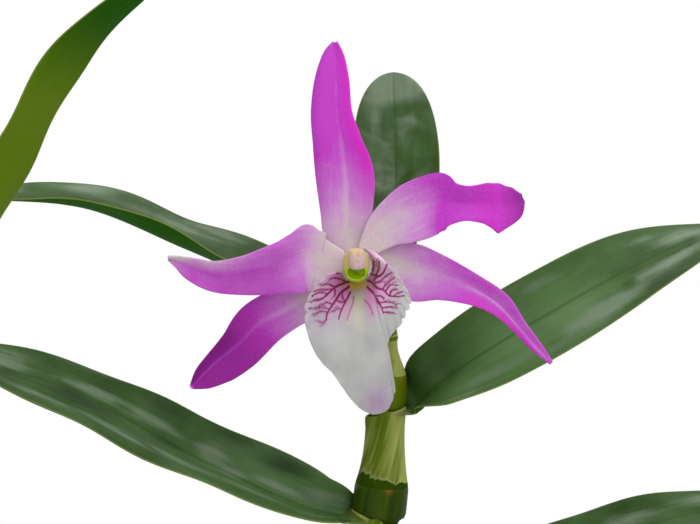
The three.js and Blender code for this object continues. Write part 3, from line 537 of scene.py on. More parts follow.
def cane_skin():
    """A living cane's waxy skin: olive green with a satin shine and fine lengthwise streaks. It
    bronzes with age, and each ring keeps a tan line and a rusty bud scar."""
    made, tree = finish("cane_skin", {"IOR": 1.45, "Specular IOR Level": 0.12})
    place = node(tree, "Attribute", attribute_name="straight").outputs["Vector"]
    age = node(tree, "Attribute", attribute_name="age").outputs["Fac"]
    ring = node(tree, "Attribute", attribute_name="ring_line").outputs["Fac"]
    scar = node(tree, "Attribute", attribute_name="scar").outputs["Fac"]
    blotch = node(tree, "TexNoise", {"Vector": place, "Scale": 1 / 7, "Detail": 4}).outputs["Fac"]
    long = node(tree, "Mapping", {"Vector": place, "Scale": (1, 1, 0.06)}).outputs[0]
    streak = node(tree, "TexNoise", {"Vector": long, "Scale": 0.8, "Detail": 3}).outputs["Fac"]
    young = node(tree, "ValToRGB", {"Fac": streak}, stops=[(0.3, "#233a02"), (0.7, "#3a4e04")])
    old = node(tree, "ValToRGB", {"Fac": streak}, stops=[(0.3, "#6a6a26"), (0.7, "#a39a4c")])
    turned_old = node(tree, "Math", {0: blotch, 1: age}, operation="MULTIPLY")
    turned_old = node(tree, "MapRange", {"Value": turned_old.outputs[0], "From Min": 0.05,
                                         "From Max": 0.45}).outputs[0]
    fresh = node(tree, "Attribute", attribute_name="fresh").outputs["Fac"]
    young = node(tree, "Mix", {0: fresh, 6: young.outputs[0], 7: "#617206"},
                 data_type="RGBA").outputs[2]
    colour = node(tree, "Mix", {0: turned_old, 6: young, 7: old.outputs[0]},
                  data_type="RGBA").outputs[2]
    colour = node(tree, "Mix", {0: ring, 6: colour, 7: "#76702c"}, data_type="RGBA").outputs[2]
    colour = node(tree, "Mix", {0: scar, 6: colour, 7: "#a8621c"}, data_type="RGBA").outputs[2]
    rough = node(tree, "MapRange", {"Value": blotch, "To Min": 0.34, "To Max": 0.56})
    bump = node(tree, "Bump", {"Strength": 0.25, "Distance": 0.12 * MM, "Height": streak})
    return feed(made, {"Base Color": colour, "Roughness": rough.outputs[0], "Normal": bump.outputs[0]})


def dry_sheath_fibre():
    """A dead sheath: thin straw-coloured paper with close parallel fibres, grey where it has
    weathered and brown along its torn edge."""
    made, tree = finish("dry_sheath_fibre", {"IOR": 1.45, "Roughness": 0.62})
    place = node(tree, "Attribute", attribute_name="straight").outputs["Vector"]
    torn = node(tree, "Attribute", attribute_name="torn").outputs["Fac"]
    long = node(tree, "Mapping", {"Vector": place, "Scale": (1, 1, 0.05)}).outputs[0]
    fibre = node(tree, "TexNoise", {"Vector": long, "Scale": 3.2, "Detail": 3}).outputs["Fac"]
    blotch = node(tree, "TexNoise", {"Vector": place, "Scale": 1 / 6, "Detail": 4}).outputs["Fac"]
    straw = node(tree, "ValToRGB", {"Fac": fibre}, stops=[
        (0.28, "#8d7a58"), (0.75, "#e2d9c2"), (0.5, "#c4b795")]).outputs[0]
    grey = node(tree, "MapRange", {"Value": blotch, "From Min": 0.45, "From Max": 0.7,
                                   "To Max": 0.55}).outputs[0]
    straw = node(tree, "Mix", {0: grey, 6: straw, 7: "#a7a292"}, data_type="RGBA").outputs[2]
    straw = node(tree, "Mix", {0: torn, 6: straw, 7: "#6f5132"}, data_type="RGBA").outputs[2]
    bump = node(tree, "Bump", {"Strength": 0.5, "Distance": 0.25 * MM, "Height": fibre})
    return feed(made, {"Base Color": straw, "Normal": bump.outputs[0]})


def eased(share):
    """0 below 0, 1 above 1, and 3s^2 - 2s^3 between."""
    share = np.clip(share, 0, 1)
    return share * share * (3 - 2 * share)


def bell(x, middle, half):
    """1 at the middle, falling off on either side as exp(-(x - middle)^2 / half^2)."""
    return np.exp(-((x - middle) / half) ** 2)


def oval(x, y, middle_x, middle_y, half_x, half_y):
    """1 at the middle of a soft oval, falling off in both directions as a bell does."""
    return np.exp(-((x - middle_x) / half_x) ** 2 - ((y - middle_y) / half_y) ** 2)


def apart(turn, other):
    """The angle from another turn, from -pi to pi."""
    return np.angle(np.exp(1j * (turn - other)))


def tube(cane, ring, outer, wall, top, sides, slant=None):
    """A thin sheath round one joint: a loop of rings that climbs its outside from the ring to the
    mouth, turns over the rim and goes down its inside. top(turn) is how far each point of the
    mouth stands above the even rim, in mm, and fades out down the tube. slant is a vector. The
    foot starts just below the ring, sunk in the stem."""
    climb = 44
    up = np.linspace(-SHEATH["sunk"], SHEATH["share"], climb)
    outside = outer(up)
    f = np.concatenate([up, up[::-1]])
    radius = np.concatenate([outside, (outside - wall)[::-1]])
    radius[climb - 1] -= wall * 0.2
    radius[climb] += wall * 0.2
    centre, along = cane_line(cane, ring + f)
    fade = eased((f - 0.4) / (SHEATH["share"] - 0.4))[:, None]
    turn = turns(sides)
    tilt = None if slant is None else fade * slant
    rings, flat = rod(centre, along, radius[:, None] + 0 * turn, sides, tilt)
    rings = rings + along[:, None] * (fade * top(turn))[..., None]
    length = np.linalg.norm(np.subtract(cane[ring + 1][:3], cane[ring][:3]))
    flat[..., 2] = (f * length)[:, None] + fade * top(turn)
    return rings, flat, fade


def canes():
    """Each stem is a rod whose radius loses shallow grooves that deepen down the cane, and gains
    a small bud above every ring, on alternate sides. Below each ring is a rusty mark, a little
    further round at every joint. Every joint below the leaves keeps a torn dry sheath."""
    green, paper = cane_skin(), dry_sheath_fibre()
    sides = CANE["sides"]
    for name, cane in CANES.items():
        place = np.linspace(0, len(cane) - 1, CANE["rings_a_joint"] * (len(cane) - 1))
        centre, along = cane_line(cane, place)
        turn = turns(sides)
        joint, f = np.floor(place)[:, None], (place % 1)[:, None]
        bare = 1 - np.isin(joint, list(LEAFY[name])) * 1.0
        age = np.clip(1 - place / (len(cane) - 1), 0, 1)[:, None]
        groove = np.sin(9 * turn + 2.3 * joint) * np.sin(4 * turn + joint) * np.sin(math.pi * f)
        from_bud = apart(turn, np.where(joint % 2 == 0, 2.6, 5.7))
        bud = oval(from_bud, f, 0, 0.055, 0.22, 0.03)
        from_rust = apart(turn - 4.69, 0.55 * (joint - 8))
        rust = oval(from_rust, f, 0, 0.975, 0.14, 0.018)
        base = stem_radius(cane, LEAFY[name], place)[:, None]
        radius = base - CANE["groove"] * bare * age * (1 + groove) + CANE["bud"] * bud * bare
        rings, flat = rod(centre, along, radius, sides)
        ring_line = bell(f, f > 0.5, 0.022)
        stem = skin(rings, straight=flat, age=age * bare, fresh=eased((0.22 - age) / 0.05),
                    ring_line=0.6 * bare * ring_line, scar=np.maximum(0.9 * bud, rust))
        make_piece("stem_" + name, [stem], green, ["cane_" + name])
        rags = []
        for ring in range(1, min(LEAFY[name])):
            torn = lambda turn: (
                1.1 * np.sin(turn + 2 * ring) + 0.7 * np.sin(5 * turn + ring)
                + 0.5 * np.sin(13 * turn + 3 * ring) - 1.4
            )
            outer = lambda f: (sheath_radius(cane, ring, f) + DRY_SHEATH["clear"]
                               + DRY_SHEATH["flare"] * eased((f - 0.35) / 0.3))
            rings, flat, fade = tube(cane, ring, outer, DRY_SHEATH["wall"], torn, sides)
            edge = np.clip(fade * 6 - 5, 0, 1)
            rags.append(skin(rings, joined=True, straight=flat + 17 * ring, torn=edge))
        make_piece("dry_sheaths_" + name, rags, paper)


canes()

# The leaves: leathery blades in two rows, each one piece with the green sheath that clasps its
# joint. A blade is channelled at its base, has a sunken midrib and close parallel veins, and
# ends in a blunt tip. Spines are measured from the middle of the sheath's mouth.
LEAF = {"thick": 0.62, "base": 0.1, "widest": 0.42, "rib_round": 0.08, "clasp": 5, "reach": 68,
        "wave": 0.45, "rows_at_clasp": 24, "rows_beyond": 90, "across": 31, "crowded": 1.6}


def blended(values, share):
    """A short list of numbers as a smooth line, with share 0 at the first and 1 at the last."""
    return through(np.array(values, float)[:, None], share * (len(values) - 1))[:, 0]


def arched(length, headings, rises):
    """The spine of a leaf in four steps that turn evenly from one heading and one rise to the
    next. Headings are degrees from +X towards +Y, rises are degrees above level."""
    share = np.linspace(0, 1, 4)
    a, b = (np.radians(blended(degrees, share)) for degrees in (headings, rises))
    step = np.stack([np.cos(a) * np.cos(b), np.sin(a) * np.cos(b), np.sin(b)], -1) * length / 4
    return np.cumsum(step, axis=0).tolist()


# What a leaf has unless its own entry says otherwise. Its roll and fold are in degrees, from base
# to tip. power is how blunt its tip is, towards is where its upper face looks, tuck narrows its
# base on one side, rib is how strong its rib is, and far_ear lifts the sheath's mouth on the side
# away from it, in mm. olive yellows its back, cloudy softens the strokes of its painted sheen and
# pale adds painted light to its sheath. veil marks the patches of painted sheen and of painted
# shade, and lush the painted light, a lighter green where the leaf lies in shadow, both as rows
# for spots() by share along and place across.
USUAL_LEAF = {
    "width": 16, "fold": [50, 16, 12], "power": 2.6, "towards": [0, 0, 1], "tuck": 0, "rib": 1,
    "olive": 0, "cloudy": 0.2, "pale": 0, "far_ear": 0, "lush": [[0, 0, 1, 1, 0]],
    "veil": [[0.35, -0.4, 0.12, 0.25, 0.8], [0.6, 0.35, 0.15, 0.25, 0.9], [0.82, -0.2, 0.1, 0.3, 0.6]],
}
LEAVES = {
    "lead": {
        5: {"spine": arched(88, [10, 2, -4], [42, 12, -22]), "width": 17, "roll": [15, 15, 5]},
        6: {"spine": arched(90, [186, 190, 196], [42, 18, -12]), "width": 17, "roll": [-20, -20, -10]},
        7: {
            "spine": [[6.7, -1, 0], [20.5, -5.5, 5.2], [46.2, -11, 18.4], [73.3, -17, 26.6]],
            "width": 17, "roll": [25, 30, 20],
            "veil": [[0.67, -0.3, 0.1, 0.3, 0.8], [0.85, -0.6, 0.08, 0.3, 0.8]],
        },
        8: {
            "spine": [[-7.5, -1, 0.8], [-14.7, -3, 3.2], [-34.8, -5.8, 13.3], [-55.8, -9.5, 25.7],
                      [-79.6, -14, 34.6]],
            "width": 17.6, "roll": [-44, -35, -25], "fold": [50, 30, 5, 13], "power": 3,
            "cloudy": 0.1, "lush": [[0.2, 0, 0.2, 1.5, 0.55]],
            "veil": [
                [0.66, 0.3, 0.1, 0.2, 1], [0.52, 0.3, 0.09, 0.2, 1], [0.37, 0.25, 0.05, 0.3, 1],
                [0.31, 0.05, 0.05, 0.18, 0.9], [0.2, 0.25, 0.08, 0.12, 0.9],
                [0.27, -0.36, 0.1, 0.14, 1], [0.42, -0.48, 0.1, 0.14, 1], [0.6, -0.58, 0.12, 0.14, 1],
                [0.78, -0.65, 0.12, 0.16, 0.9], [0.12, -0.5, 0.07, 0.2, 0.8],
                [0.88, 0.2, 0.08, 0.5, 0.9], [0.45, -0.2, 0.06, 0.1, 0.5], [0.1, 0.5, 0.08, 0.25, 0.8],
                [0.68, -0.2, 0.09, 0.2, -1], [0.47, -0.05, 0.05, 0.2, -0.9],
                [0.25, -0.05, 0.06, 0.1, -0.6], [0.2, 0.75, 0.08, 0.25, -1],
                [0.33, 0.85, 0.05, 0.2, -0.7], [0.88, -0.3, 0.06, 0.2, -0.7], [0.5, 0.8, 0.08, 0.2, -0.6],
            ],
        },
        9: {
            "spine": [[5.9, -1, 0.3], [10.4, -4, 6.3], [25.6, -7, 17], [46.6, -4, 28.4], [64.8, 2, 35.2]],
            "width": 17.2, "roll": [53, 65, 62, 20], "fold": [50, 19, 15, -12], "power": 1.7,
            "cloudy": 0.35, "tuck": 0.88,
            "lush": [[0.36, 0.1, 0.12, 1.2, 0.9], [0.52, 0, 0.12, 0.9, 0.85], [0.24, 0.5, 0.1, 0.5, 0.6]],
            "veil": [
                [0.82, 0.4, 0.2, 0.25, 1], [0.6, 0.62, 0.13, 0.28, 1], [0.32, 0.62, 0.12, 0.16, 0.9],
                [0.48, -0.7, 0.06, 0.2, 0.7], [0.77, -0.6, 0.06, 0.18, 0.7], [0.2, 0.92, 0.1, 0.12, 0.6],
                [0.9, -0.2, 0.12, 0.6, 0.9], [0.5, 0, 0.5, 2, 0.3], [0.68, -0.1, 0.05, 0.3, -0.6],
                [0.13, -0.5, 0.05, 0.5, -0.6], [0.68, 0.35, 0.02, 0.12, -1.2],
                [0.85, 0.05, 0.05, 0.14, -0.8], [0.3, -0.75, 0.06, 0.3, -0.5],
            ],
        },
        10: {
            "spine": [[-7.7, -0.2, 8.4], [-23, 1.8, 11.8], [-37.4, 4.8, 17.3], [-55.8, 7.8, 24.4],
                      [-74.4, 8.8, 26.3]],
            "roll": [3, -11, -2, -19], "fold": [55, 40, 36, 23], "power": 3, "pale": 1.1, "far_ear": 2.2,
            "veil": [
                [0.97, 0.7, 0.05, 0.4, 0.8], [0.79, 0.8, 0.07, 0.3, 0.9], [0.58, 0.6, 0.14, 0.2, 0.9],
                [0.5, 0.85, 0.1, 0.2, 0.8], [0.6, 0.8, 0.5, 0.5, 0.3], [0.6, -0.8, 0.4, 0.5, -1.5],
            ],
        },
        11: {
            "spine": [[0.8, 1.5, 4], [1.1, 5, 14], [1.2, 9, 27], [0.7, 14, 41]], "width": 16.6,
            "roll": [0, 0, 0], "fold": [60, 62, 14, 4, 3], "towards": [0, -1, 0.2], "power": 3.8,
            "cloudy": 0.9, "pale": 0.8,
            "veil": [[0.76, -0.5, 0.14, 0.35, 0.5], [0.97, 0, 0.1, 1.2, 2], [0.78, 0.4, 0.05, 0.2, 0.8],
                     [0.62, 0.75, 0.08, 0.2, 0.6], [0.7, 0, 0.6, 3, 0.37]],
        },
    },
    "left": {
        6: {"spine": arched(86, [170, 178, 186], [40, 12, -18]), "roll": [-15, -15, -5]},
        7: {"spine": arched(84, [-95, -88, -80], [20, -20, -45]), "roll": [10, 10, 0]},
        9: {"spine": arched(82, [188, 196, 204], [48, 26, -2]), "roll": [-20, -20, -10],
            "fold": [50, 18, 12]},
        10: {"spine": [[7.3, -1.3, 14.2], [14.7, -2.3, 30.3], [26.9, -4.3, 52.1], [42.2, -6.3, 65.2]],
             "width": 17, "roll": [-36, -14, -20], "fold": [45, 4, 2], "olive": 1, "rib": 0.2},
    },
    "rear": {
        4: {"spine": arched(80, [150, 140, 132], [36, 8, -24]), "roll": [-10, -10, 0]},
        5: {"spine": arched(78, [-12, -4, 4], [38, 10, -20]), "width": 15.5, "roll": [15, 15, 5]},
        6: {"spine": arched(70, [120, 112, 104], [40, 14, -14]), "width": 15, "roll": [-10, -10, 0],
            "fold": [50, 18, 12]},
        7: {"spine": arched(52, [40, 44, 48], [58, 36, 12]), "width": 14, "roll": [0, 0, 0],
            "fold": [50, 18, 12], "power": 4},
    },
}


def measured(rows, share):
    """Points at shares of the length of the smooth line through rows of x, y, z."""
    fine = through(rows, np.linspace(0, len(rows) - 1, 401))
    run = lengths(fine)
    return np.stack([np.interp(share * run[-1], run, fine[:, k]) for k in range(3)], -1), run[-1]


def facing(along, towards, roll):
    """The direction square to a spine that faces a given way, rolled about the spine."""
    up = unit(towards - along * np.sum(along * towards, -1, keepdims=True))
    roll = roll[:, None]
    return up * np.cos(roll) + np.cross(along, up) * np.sin(roll)


def across(count):
    """Places across a sheet from -1 to 1, which lie closer together at its edges."""
    return np.sin(np.linspace(-math.pi / 2, math.pi / 2, count))[None, :]


def folded(centre, along, up, v, half, fold, rounding, lift):
    """A sheet along a spine with places v across it. Each half lifts from the rib by its fold
    angle, rounded at the rib, and the lift is added to that, in mm."""
    soft = np.sqrt(v * v + rounding) - math.sqrt(rounding)
    lift = soft * half * np.sin(fold) + lift
    middle = centre[:, None] + np.cross(along, up)[:, None] * (v * half * np.cos(fold))[..., None]
    return middle + up[:, None] * lift[..., None]


def leaf_shape(share, power):
    """Half-width along a leaf as a share of its widest. It leaves a round base by the eighth power
    of the share still to go, and ends in the root of 1 less a power, which is a blunt tip."""
    rise = 1 - (1 - LEAF["base"]) * np.clip(1 - share / LEAF["widest"], 0, 1) ** 8
    past = np.clip((share - LEAF["widest"]) / (1 - LEAF["widest"]), 0, 1)
    return np.where(share < LEAF["widest"], rise, np.sqrt(np.maximum(1 - past ** power, 0.0006)))


def thickened(middle, above, below):
    """Rings round a thin sheet: its points moved out along their normals by the thickness above,
    then back along the other face. The normal is the cross product of the differences across
    and along."""
    normal = unit(np.cross(np.gradient(middle, axis=1), np.gradient(middle, axis=0)))
    face = middle + normal * above[..., None]
    back = middle - normal * below[..., None]
    return np.concatenate([face, back[:, ::-1]], axis=1)


def spots(x, y, ovals):
    """Soft ovals [middle x, middle y, half x, half y, strength] at each point: the largest of the
    light ones plus the lowest of the dark ones, whose strength is below 0."""
    marks = [strength * oval(x, y, *place) for *place, strength in ovals]
    return np.maximum(np.max(marks, axis=0), 0) + np.minimum(np.min(marks, axis=0), 0)


def sheet_skin(middle, above, below, facts, behind):
    """The skin of a thickened sheet. A fact that differs on its back has its other value behind."""
    faced = {}
    for key, front in facts.items():
        shape = middle.shape[:2] + np.shape(front)[2:]
        back = np.broadcast_to(behind.get(key, front), shape)
        faced[key] = np.concatenate([np.broadcast_to(front, shape), back[:, ::-1]], axis=1)
    return skin(thickened(middle, above, below), **faced)


def leaf_cuticle():
    """A leathery leaf under a waxy skin: deep green and glossy above, olive and duller below, with
    close parallel veins and shallow furrows that break its shine. Long patches of sheen are painted
    into its colour as grey-green strokes, with painted shade between some of them, and a lighter
    green is painted where it lies in shadow. The sheath is a paler, streaky part of the same skin,
    with painted light on the side towards its leaf."""
    made, tree = finish("leaf_cuticle", {"IOR": 1.6})
    place = node(tree, "Attribute", attribute_name="flat").outputs["Vector"]
    across = node(tree, "Attribute", attribute_name="across").outputs["Fac"]
    under = node(tree, "Attribute", attribute_name="under").outputs["Fac"]
    sheath = node(tree, "Attribute", attribute_name="sheath").outputs["Fac"]
    olive = node(tree, "Attribute", attribute_name="olive").outputs["Fac"]
    sunny = node(tree, "Attribute", attribute_name="sunny").outputs["Fac"]
    away = node(tree, "Math", {0: across}, operation="ABSOLUTE").outputs[0]
    blotch = node(tree, "TexNoise", {"Vector": place, "Scale": 1 / 9, "Detail": 4}).outputs["Fac"]
    long = node(tree, "Mapping", {"Vector": place, "Scale": (1, 0.04, 1)}).outputs[0]
    vein = node(tree, "TexNoise", {"Vector": long, "Scale": 1.6, "Detail": 3}).outputs["Fac"]
    drawn = node(tree, "Mapping", {"Vector": place, "Scale": (1, 0.2, 1)}).outputs[0]
    furrow = node(tree, "TexNoise", {"Vector": drawn, "Scale": 1 / 5.5, "Detail": 2}).outputs["Fac"]
    upper = node(tree, "ValToRGB", {"Fac": blotch}, stops=[
        (0.3, "#2f4c14"), (0.72, "#486b34")]).outputs[0]
    # Painted light: a lighter green where the leaf lies in shadow.
    lush = node(tree, "Attribute", attribute_name="lush").outputs["Fac"]
    upper = node(tree, "Mix", {0: lush, 6: upper, 7: "#688f55"}, data_type="RGBA").outputs[2]
    lower = node(tree, "Mix", {0: olive, 6: "#286300", 7: "#6d8b16"}, data_type="RGBA").outputs[2]
    veil = node(tree, "Attribute", attribute_name="veil").outputs["Fac"]
    drag = node(tree, "Mapping", {"Vector": place, "Scale": (1, 0.12, 1)}).outputs[0]
    stroke = node(tree, "TexNoise", {"Vector": drag, "Scale": 0.55, "Detail": 5, "Roughness": 0.7,
                                     "Distortion": 0.3}).outputs["Fac"]
    cloudy = node(tree, "Attribute", attribute_name="cloudy").outputs["Fac"]
    cloud = node(tree, "TexNoise", {"Vector": place, "Scale": 1 / 5, "Detail": 2.5,
                                    "Distortion": 0.6}).outputs["Fac"]
    stroke = node(tree, "Mix", {0: cloudy, 2: stroke, 3: cloud}, data_type="FLOAT").outputs[0]
    # Painted shade: where the patch marks fall below 0, the upper green darkens.
    shady = node(tree, "MapRange", {"Value": veil, "From Min": -0.15, "From Max": -0.9,
                                    "To Max": 0.75}).outputs[0]
    upper = node(tree, "Mix", {0: shady, 6: upper, 7: "#1b3603"}, data_type="RGBA").outputs[2]
    # Painted sheen: where the patch marks and the strokes are light, the upper green turns grey-green.
    veil = node(tree, "Math", {0: stroke, 1: 1.7, 2: veil}, operation="MULTIPLY_ADD").outputs[0]
    veil = node(tree, "MapRange", {"Value": veil, "From Min": 1.0, "From Max": 1.95, "To Max": 0.95},
                interpolation_type="SMOOTHSTEP").outputs[0]
    upper = node(tree, "Mix", {0: veil, 6: upper, 7: "#75896c"}, data_type="RGBA").outputs[2]
    green = node(tree, "Mix", {0: under, 6: upper, 7: lower}, data_type="RGBA").outputs[2]
    lines = node(tree, "ValToRGB", {"Fac": vein}, stops=[(0.35, "#727272"), (0.65, "#8c8c8c")])
    green = node(tree, "Mix", {0: 0.5, 6: green, 7: lines.outputs[0]}, data_type="RGBA",
                 blend_type="SOFT_LIGHT").outputs[2]
    rib = node(tree, "MapRange", {"Value": away, "From Min": 0.06, "From Max": 0.01,
                                  "To Max": 0.45}, interpolation_type="SMOOTHSTEP").outputs[0]
    rib = node(tree, "Mix", {0: under, 2: rib, 3: 0}, data_type="FLOAT").outputs[0]
    green = node(tree, "Mix", {0: rib, 6: green, 7: "#24400f"}, data_type="RGBA").outputs[2]
    edge = node(tree, "MapRange", {"Value": away, "From Min": 0.975, "From Max": 0.992,
                                   "To Max": 0.6}).outputs[0]
    green = node(tree, "Mix", {0: edge, 6: green, 7: "#7d8c3a"}, data_type="RGBA").outputs[2]
    round_long = node(tree, "Mapping", {"Vector": place, "Scale": (1, 1, 0.09)}).outputs[0]
    streak = node(tree, "TexNoise", {"Vector": round_long, "Scale": 0.55, "Detail": 3,
                                     "Distortion": 0.5}).outputs["Fac"]
    foot = node(tree, "Attribute", attribute_name="foot").outputs["Fac"]
    jagged = node(tree, "Math", {0: streak, 1: 1.6, 2: foot}, operation="MULTIPLY_ADD").outputs[0]
    # Painted light: the sheath's streaks lighten on the side towards its leaf, and all over where the
    # leaf's pale adds to it.
    streak = node(tree, "Math", {0: sunny, 1: 0.3, 2: streak}, operation="MULTIPLY_ADD").outputs[0]
    pale = node(tree, "ValToRGB", {"Fac": streak}, stops=[
        (0.4, "#43560c"), (0.95, "#a0a85a"), (0.62, "#596a1a")]).outputs[0]
    fringe = node(tree, "MapRange", {"Value": jagged, "From Min": 0.7, "From Max": 0.95,
                                     "To Max": 0.4}).outputs[0]
    pale = node(tree, "Mix", {0: fringe, 6: pale, 7: "#a9ae84"}, data_type="RGBA").outputs[2]
    dark = node(tree, "MapRange", {"Value": jagged, "From Min": 0.95, "From Max": 1.08}).outputs[0]
    pale = node(tree, "Mix", {0: dark, 6: pale, 7: "#2e4404"}, data_type="RGBA").outputs[2]
    green = node(tree, "Mix", {0: sheath, 6: green, 7: pale}, data_type="RGBA").outputs[2]
    rough = node(tree, "MapRange", {"Value": vein, "To Min": 0.3, "To Max": 0.42}).outputs[0]
    rough = node(tree, "Mix", {0: under, 2: rough, 3: 0.55}, data_type="FLOAT").outputs[0]
    rough = node(tree, "Mix", {0: sheath, 2: rough, 3: 0.5}, data_type="FLOAT").outputs[0]
    dull = node(tree, "Math", {0: under, 1: sheath}, operation="MAXIMUM").outputs[0]
    gloss = node(tree, "MapRange", {"Value": veil, "From Max": 0.95, "To Min": 0.14,
                                    "To Max": 0.34}).outputs[0]
    gloss = node(tree, "Mix", {0: dull, 2: gloss, 3: 0.01}, data_type="FLOAT").outputs[0]
    bump = node(tree, "Bump", {"Strength": 0.3, "Distance": 0.06 * MM, "Height": vein})
    bump = node(tree, "Bump", {"Strength": 0.5, "Distance": 1.3 * MM, "Height": furrow,
                               "Normal": bump.outputs[0]})
    return feed(made, {
        "Base Color": green, "Roughness": rough, "Specular IOR Level": gloss, "Normal": bump.outputs[0]})


def leaf_blade(cane, ring, leaf):
    """The blade as a folded sheet over shares along its spine, whose margins wave by a sine. Over
    its first millimetres it blends into an arc of the sheath's mouth, so that its base clasps.
    Its pattern is moved on at every ring, so that no two leaves have the same."""
    mouth, grow = cane_line(cane, ring + SHEATH["share"])
    level = np.array([leaf["spine"][0][0], leaf["spine"][0][1], 0.0])
    heading = unit(level)
    start = mouth - 2 * grow + 0.7 * cane[ring][4] * heading
    spine = np.vstack([start, mouth + np.array(leaf["spine"], float)])
    near = 1.6 * LEAF["clasp"] / measured(spine, np.zeros(1))[1]
    rest = 1 - (1 - np.linspace(0, 1, LEAF["rows_beyond"])) ** LEAF["crowded"]
    near_rows = np.linspace(0, near, LEAF["rows_at_clasp"])
    share = np.concatenate([near_rows[:-1], near + (1 - near) * rest])
    centre, length = measured(spine, share)
    along = direction(lambda at: measured(spine, at)[0], share, 0.01, 1)
    up = facing(along, np.array(leaf["towards"], float), np.radians(blended(leaf["roll"], share)))
    v = across(LEAF["across"])
    half = 0.5 * leaf["width"] * leaf_shape(share, leaf["power"])[:, None]
    half = half * (1 - leaf["tuck"] * (v > 0) * (1 - eased(share[:, None] / 0.18)))
    fold = np.radians(blended(leaf["fold"], share))[:, None]
    ripple = LEAF["wave"] * np.abs(v) ** 3 * np.sin(share[:, None] * 21 + 1.7 * np.sign(v) + ring)
    ripple = ripple * np.sin(math.pi * share[:, None])
    middle = folded(centre, along, up, v, half, fold, LEAF["rib_round"], ripple)
    square = unit(heading - grow * np.dot(heading, grow))
    angle = math.radians(LEAF["reach"]) * v
    out = np.cos(angle)[..., None] * square + np.sin(angle)[..., None] * np.cross(square, grow)
    swell = max(cane[min(ring + 1, len(cane) - 1)][3] * 1.05, cane[ring][4] + 0.2) + 0.7
    rise = (share * length)[:, None]
    rim = cane[ring][4] + SHEATH["flare"] - 0.35
    radius = rim + (swell - rim) * eased(rise / 3)
    climb = SHEATH["slant"] * rim * np.cos(angle) - 1.0 + 0.5 * rise
    clasp = mouth + out * radius[..., None] + grow * climb[..., None]
    weight = eased(rise / LEAF["clasp"])[..., None]
    middle = clasp + (middle - clasp) * weight
    edge = np.sqrt(1 - 0.88 * v ** 8)
    rib = leaf["rib"] * bell(v, 0, 0.07) * (1 - 0.7 * share[:, None])
    above = LEAF["thick"] / 2 * edge - 0.12 * rib + 0 * half
    below = LEAF["thick"] / 2 * edge + 0.5 * rib + 0 * half
    # sunny is painted light on the sheath's part, lush is painted light, and veil is painted sheen and
    # painted shade.
    facts = {
        "flat": np.stack([v * half, rise + 0 * v, 31.0 * ring + 0 * v * half], -1),
        "across": v, "under": 0, "sheath": 0.85 * (1 - eased((rise - 0.8) / 4)), "sunny": 0.4, "foot": 0,
        "olive": leaf["olive"] * eased((0.88 - share[:, None]) / 0.3),
        "cloudy": leaf["cloudy"],
        "lush": spots(share[:, None], v, leaf["lush"]),
        "veil": spots(share[:, None], v, leaf["veil"]),
    }
    return sheet_skin(middle, above, below, facts, {"under": 1, "lush": 0, "veil": 0}), heading


def leaf_sheath(cane, ring, leaf, heading):
    """The sheath as a thin tube whose mouth slants up towards its leaf, flares a little and has
    a small ear on either side of the blade. Its streaks wind up it by 0.07 radians a millimetre,
    and the dark of the ring climbs its foot, less on the leaf's side."""
    sides = 64
    side, front = squares(cane_line(cane, ring + SHEATH["share"])[1])
    toward = math.atan2(np.dot(heading, front), np.dot(heading, side))
    ears = lambda turn: (0.8 * bell(np.abs(apart(turn, toward)), 1.45, 0.22)
                         + leaf["far_ear"] * (0.5 - 0.5 * np.cos(turn - toward)))
    outer = lambda f: sheath_radius(cane, ring, f) + SHEATH["flare"] * eased((f - 0.46) / 0.16)
    rings, flat, _ = tube(cane, ring, outer, SHEATH["wall"] - 0.1, ears, sides,
                          heading * SHEATH["slant"])
    turn = turns(sides)
    leafward = 0.5 + 0.5 * np.cos(turn - toward)
    height = flat[..., 2]
    away = np.hypot(flat[..., 0], flat[..., 1])
    lag = turn - 0.07 * height
    wound = np.stack([away * np.cos(lag), away * np.sin(lag), height], -1)
    # Painted light: lighter towards the leaf, and lighter all round by the leaf's pale.
    sunny = 0.3 + 1.3 * leafward ** 4 + 0.4 * (1 - leafward) ** 3 + leaf["pale"]
    dark = 0.5 + 1.1 * (1 - leafward)
    return skin(rings, joined=True, flat=wound + 19 * ring, across=0.5, under=0, sheath=1, olive=0,
                sunny=sunny, veil=0, lush=0, cloudy=0,
                foot=1 - height / (2 * dark) - 1.5 * leaf["pale"])


def leaves():
    """Every leaf is one piece: its blade and its sheath."""
    cuticle = leaf_cuticle()
    for name, cane in CANES.items():
        for ring, leaf in LEAVES[name].items():
            leaf = {**USUAL_LEAF, **leaf}
            blade, heading = leaf_blade(cane, ring, leaf)
            skins = [blade, leaf_sheath(cane, ring, leaf, heading)]
            solid = f"leaf_{name}_{ring}"
            make_piece(solid + "_blade", skins, cuticle, [solid])


leaves()

# The flower's stalk: a slim green pedicel that leaves the cane's top ring and thickens into the
# ribbed ovary behind the flower. It and the flower are drawn in the flower's own frame: a to the
# viewer's right, b up, c out towards the viewer. Rows are [a, b, c, radius].
BLOOM = {"centre": [0, -20, 299], "tilt_back": 8}
PEDICEL = [
    [-0.1, -1, -2.9, 2.3], [0, -1.3, -5, 2.1], [0.4, -2.6, -9.5, 1.6], [2, -7, -12, 1.1],
    [3.9, -14, -12.3, 1], [5.1, -20.5, -12.9, 1.1], [5.2, -23.3, -15.2, 1.3],
]


def in_bloom(points):
    """Points of the flower's own frame, turned upright, tilted back and moved to its centre."""
    lean = math.pi / 2 - math.radians(BLOOM["tilt_back"])
    a, b, c = points[..., 0], points[..., 1], points[..., 2]
    turned_up = np.stack([a, b * math.cos(lean) - c * math.sin(lean),
                          b * math.sin(lean) + c * math.cos(lean)], -1)
    return turned_up + np.array(BLOOM["centre"], float)


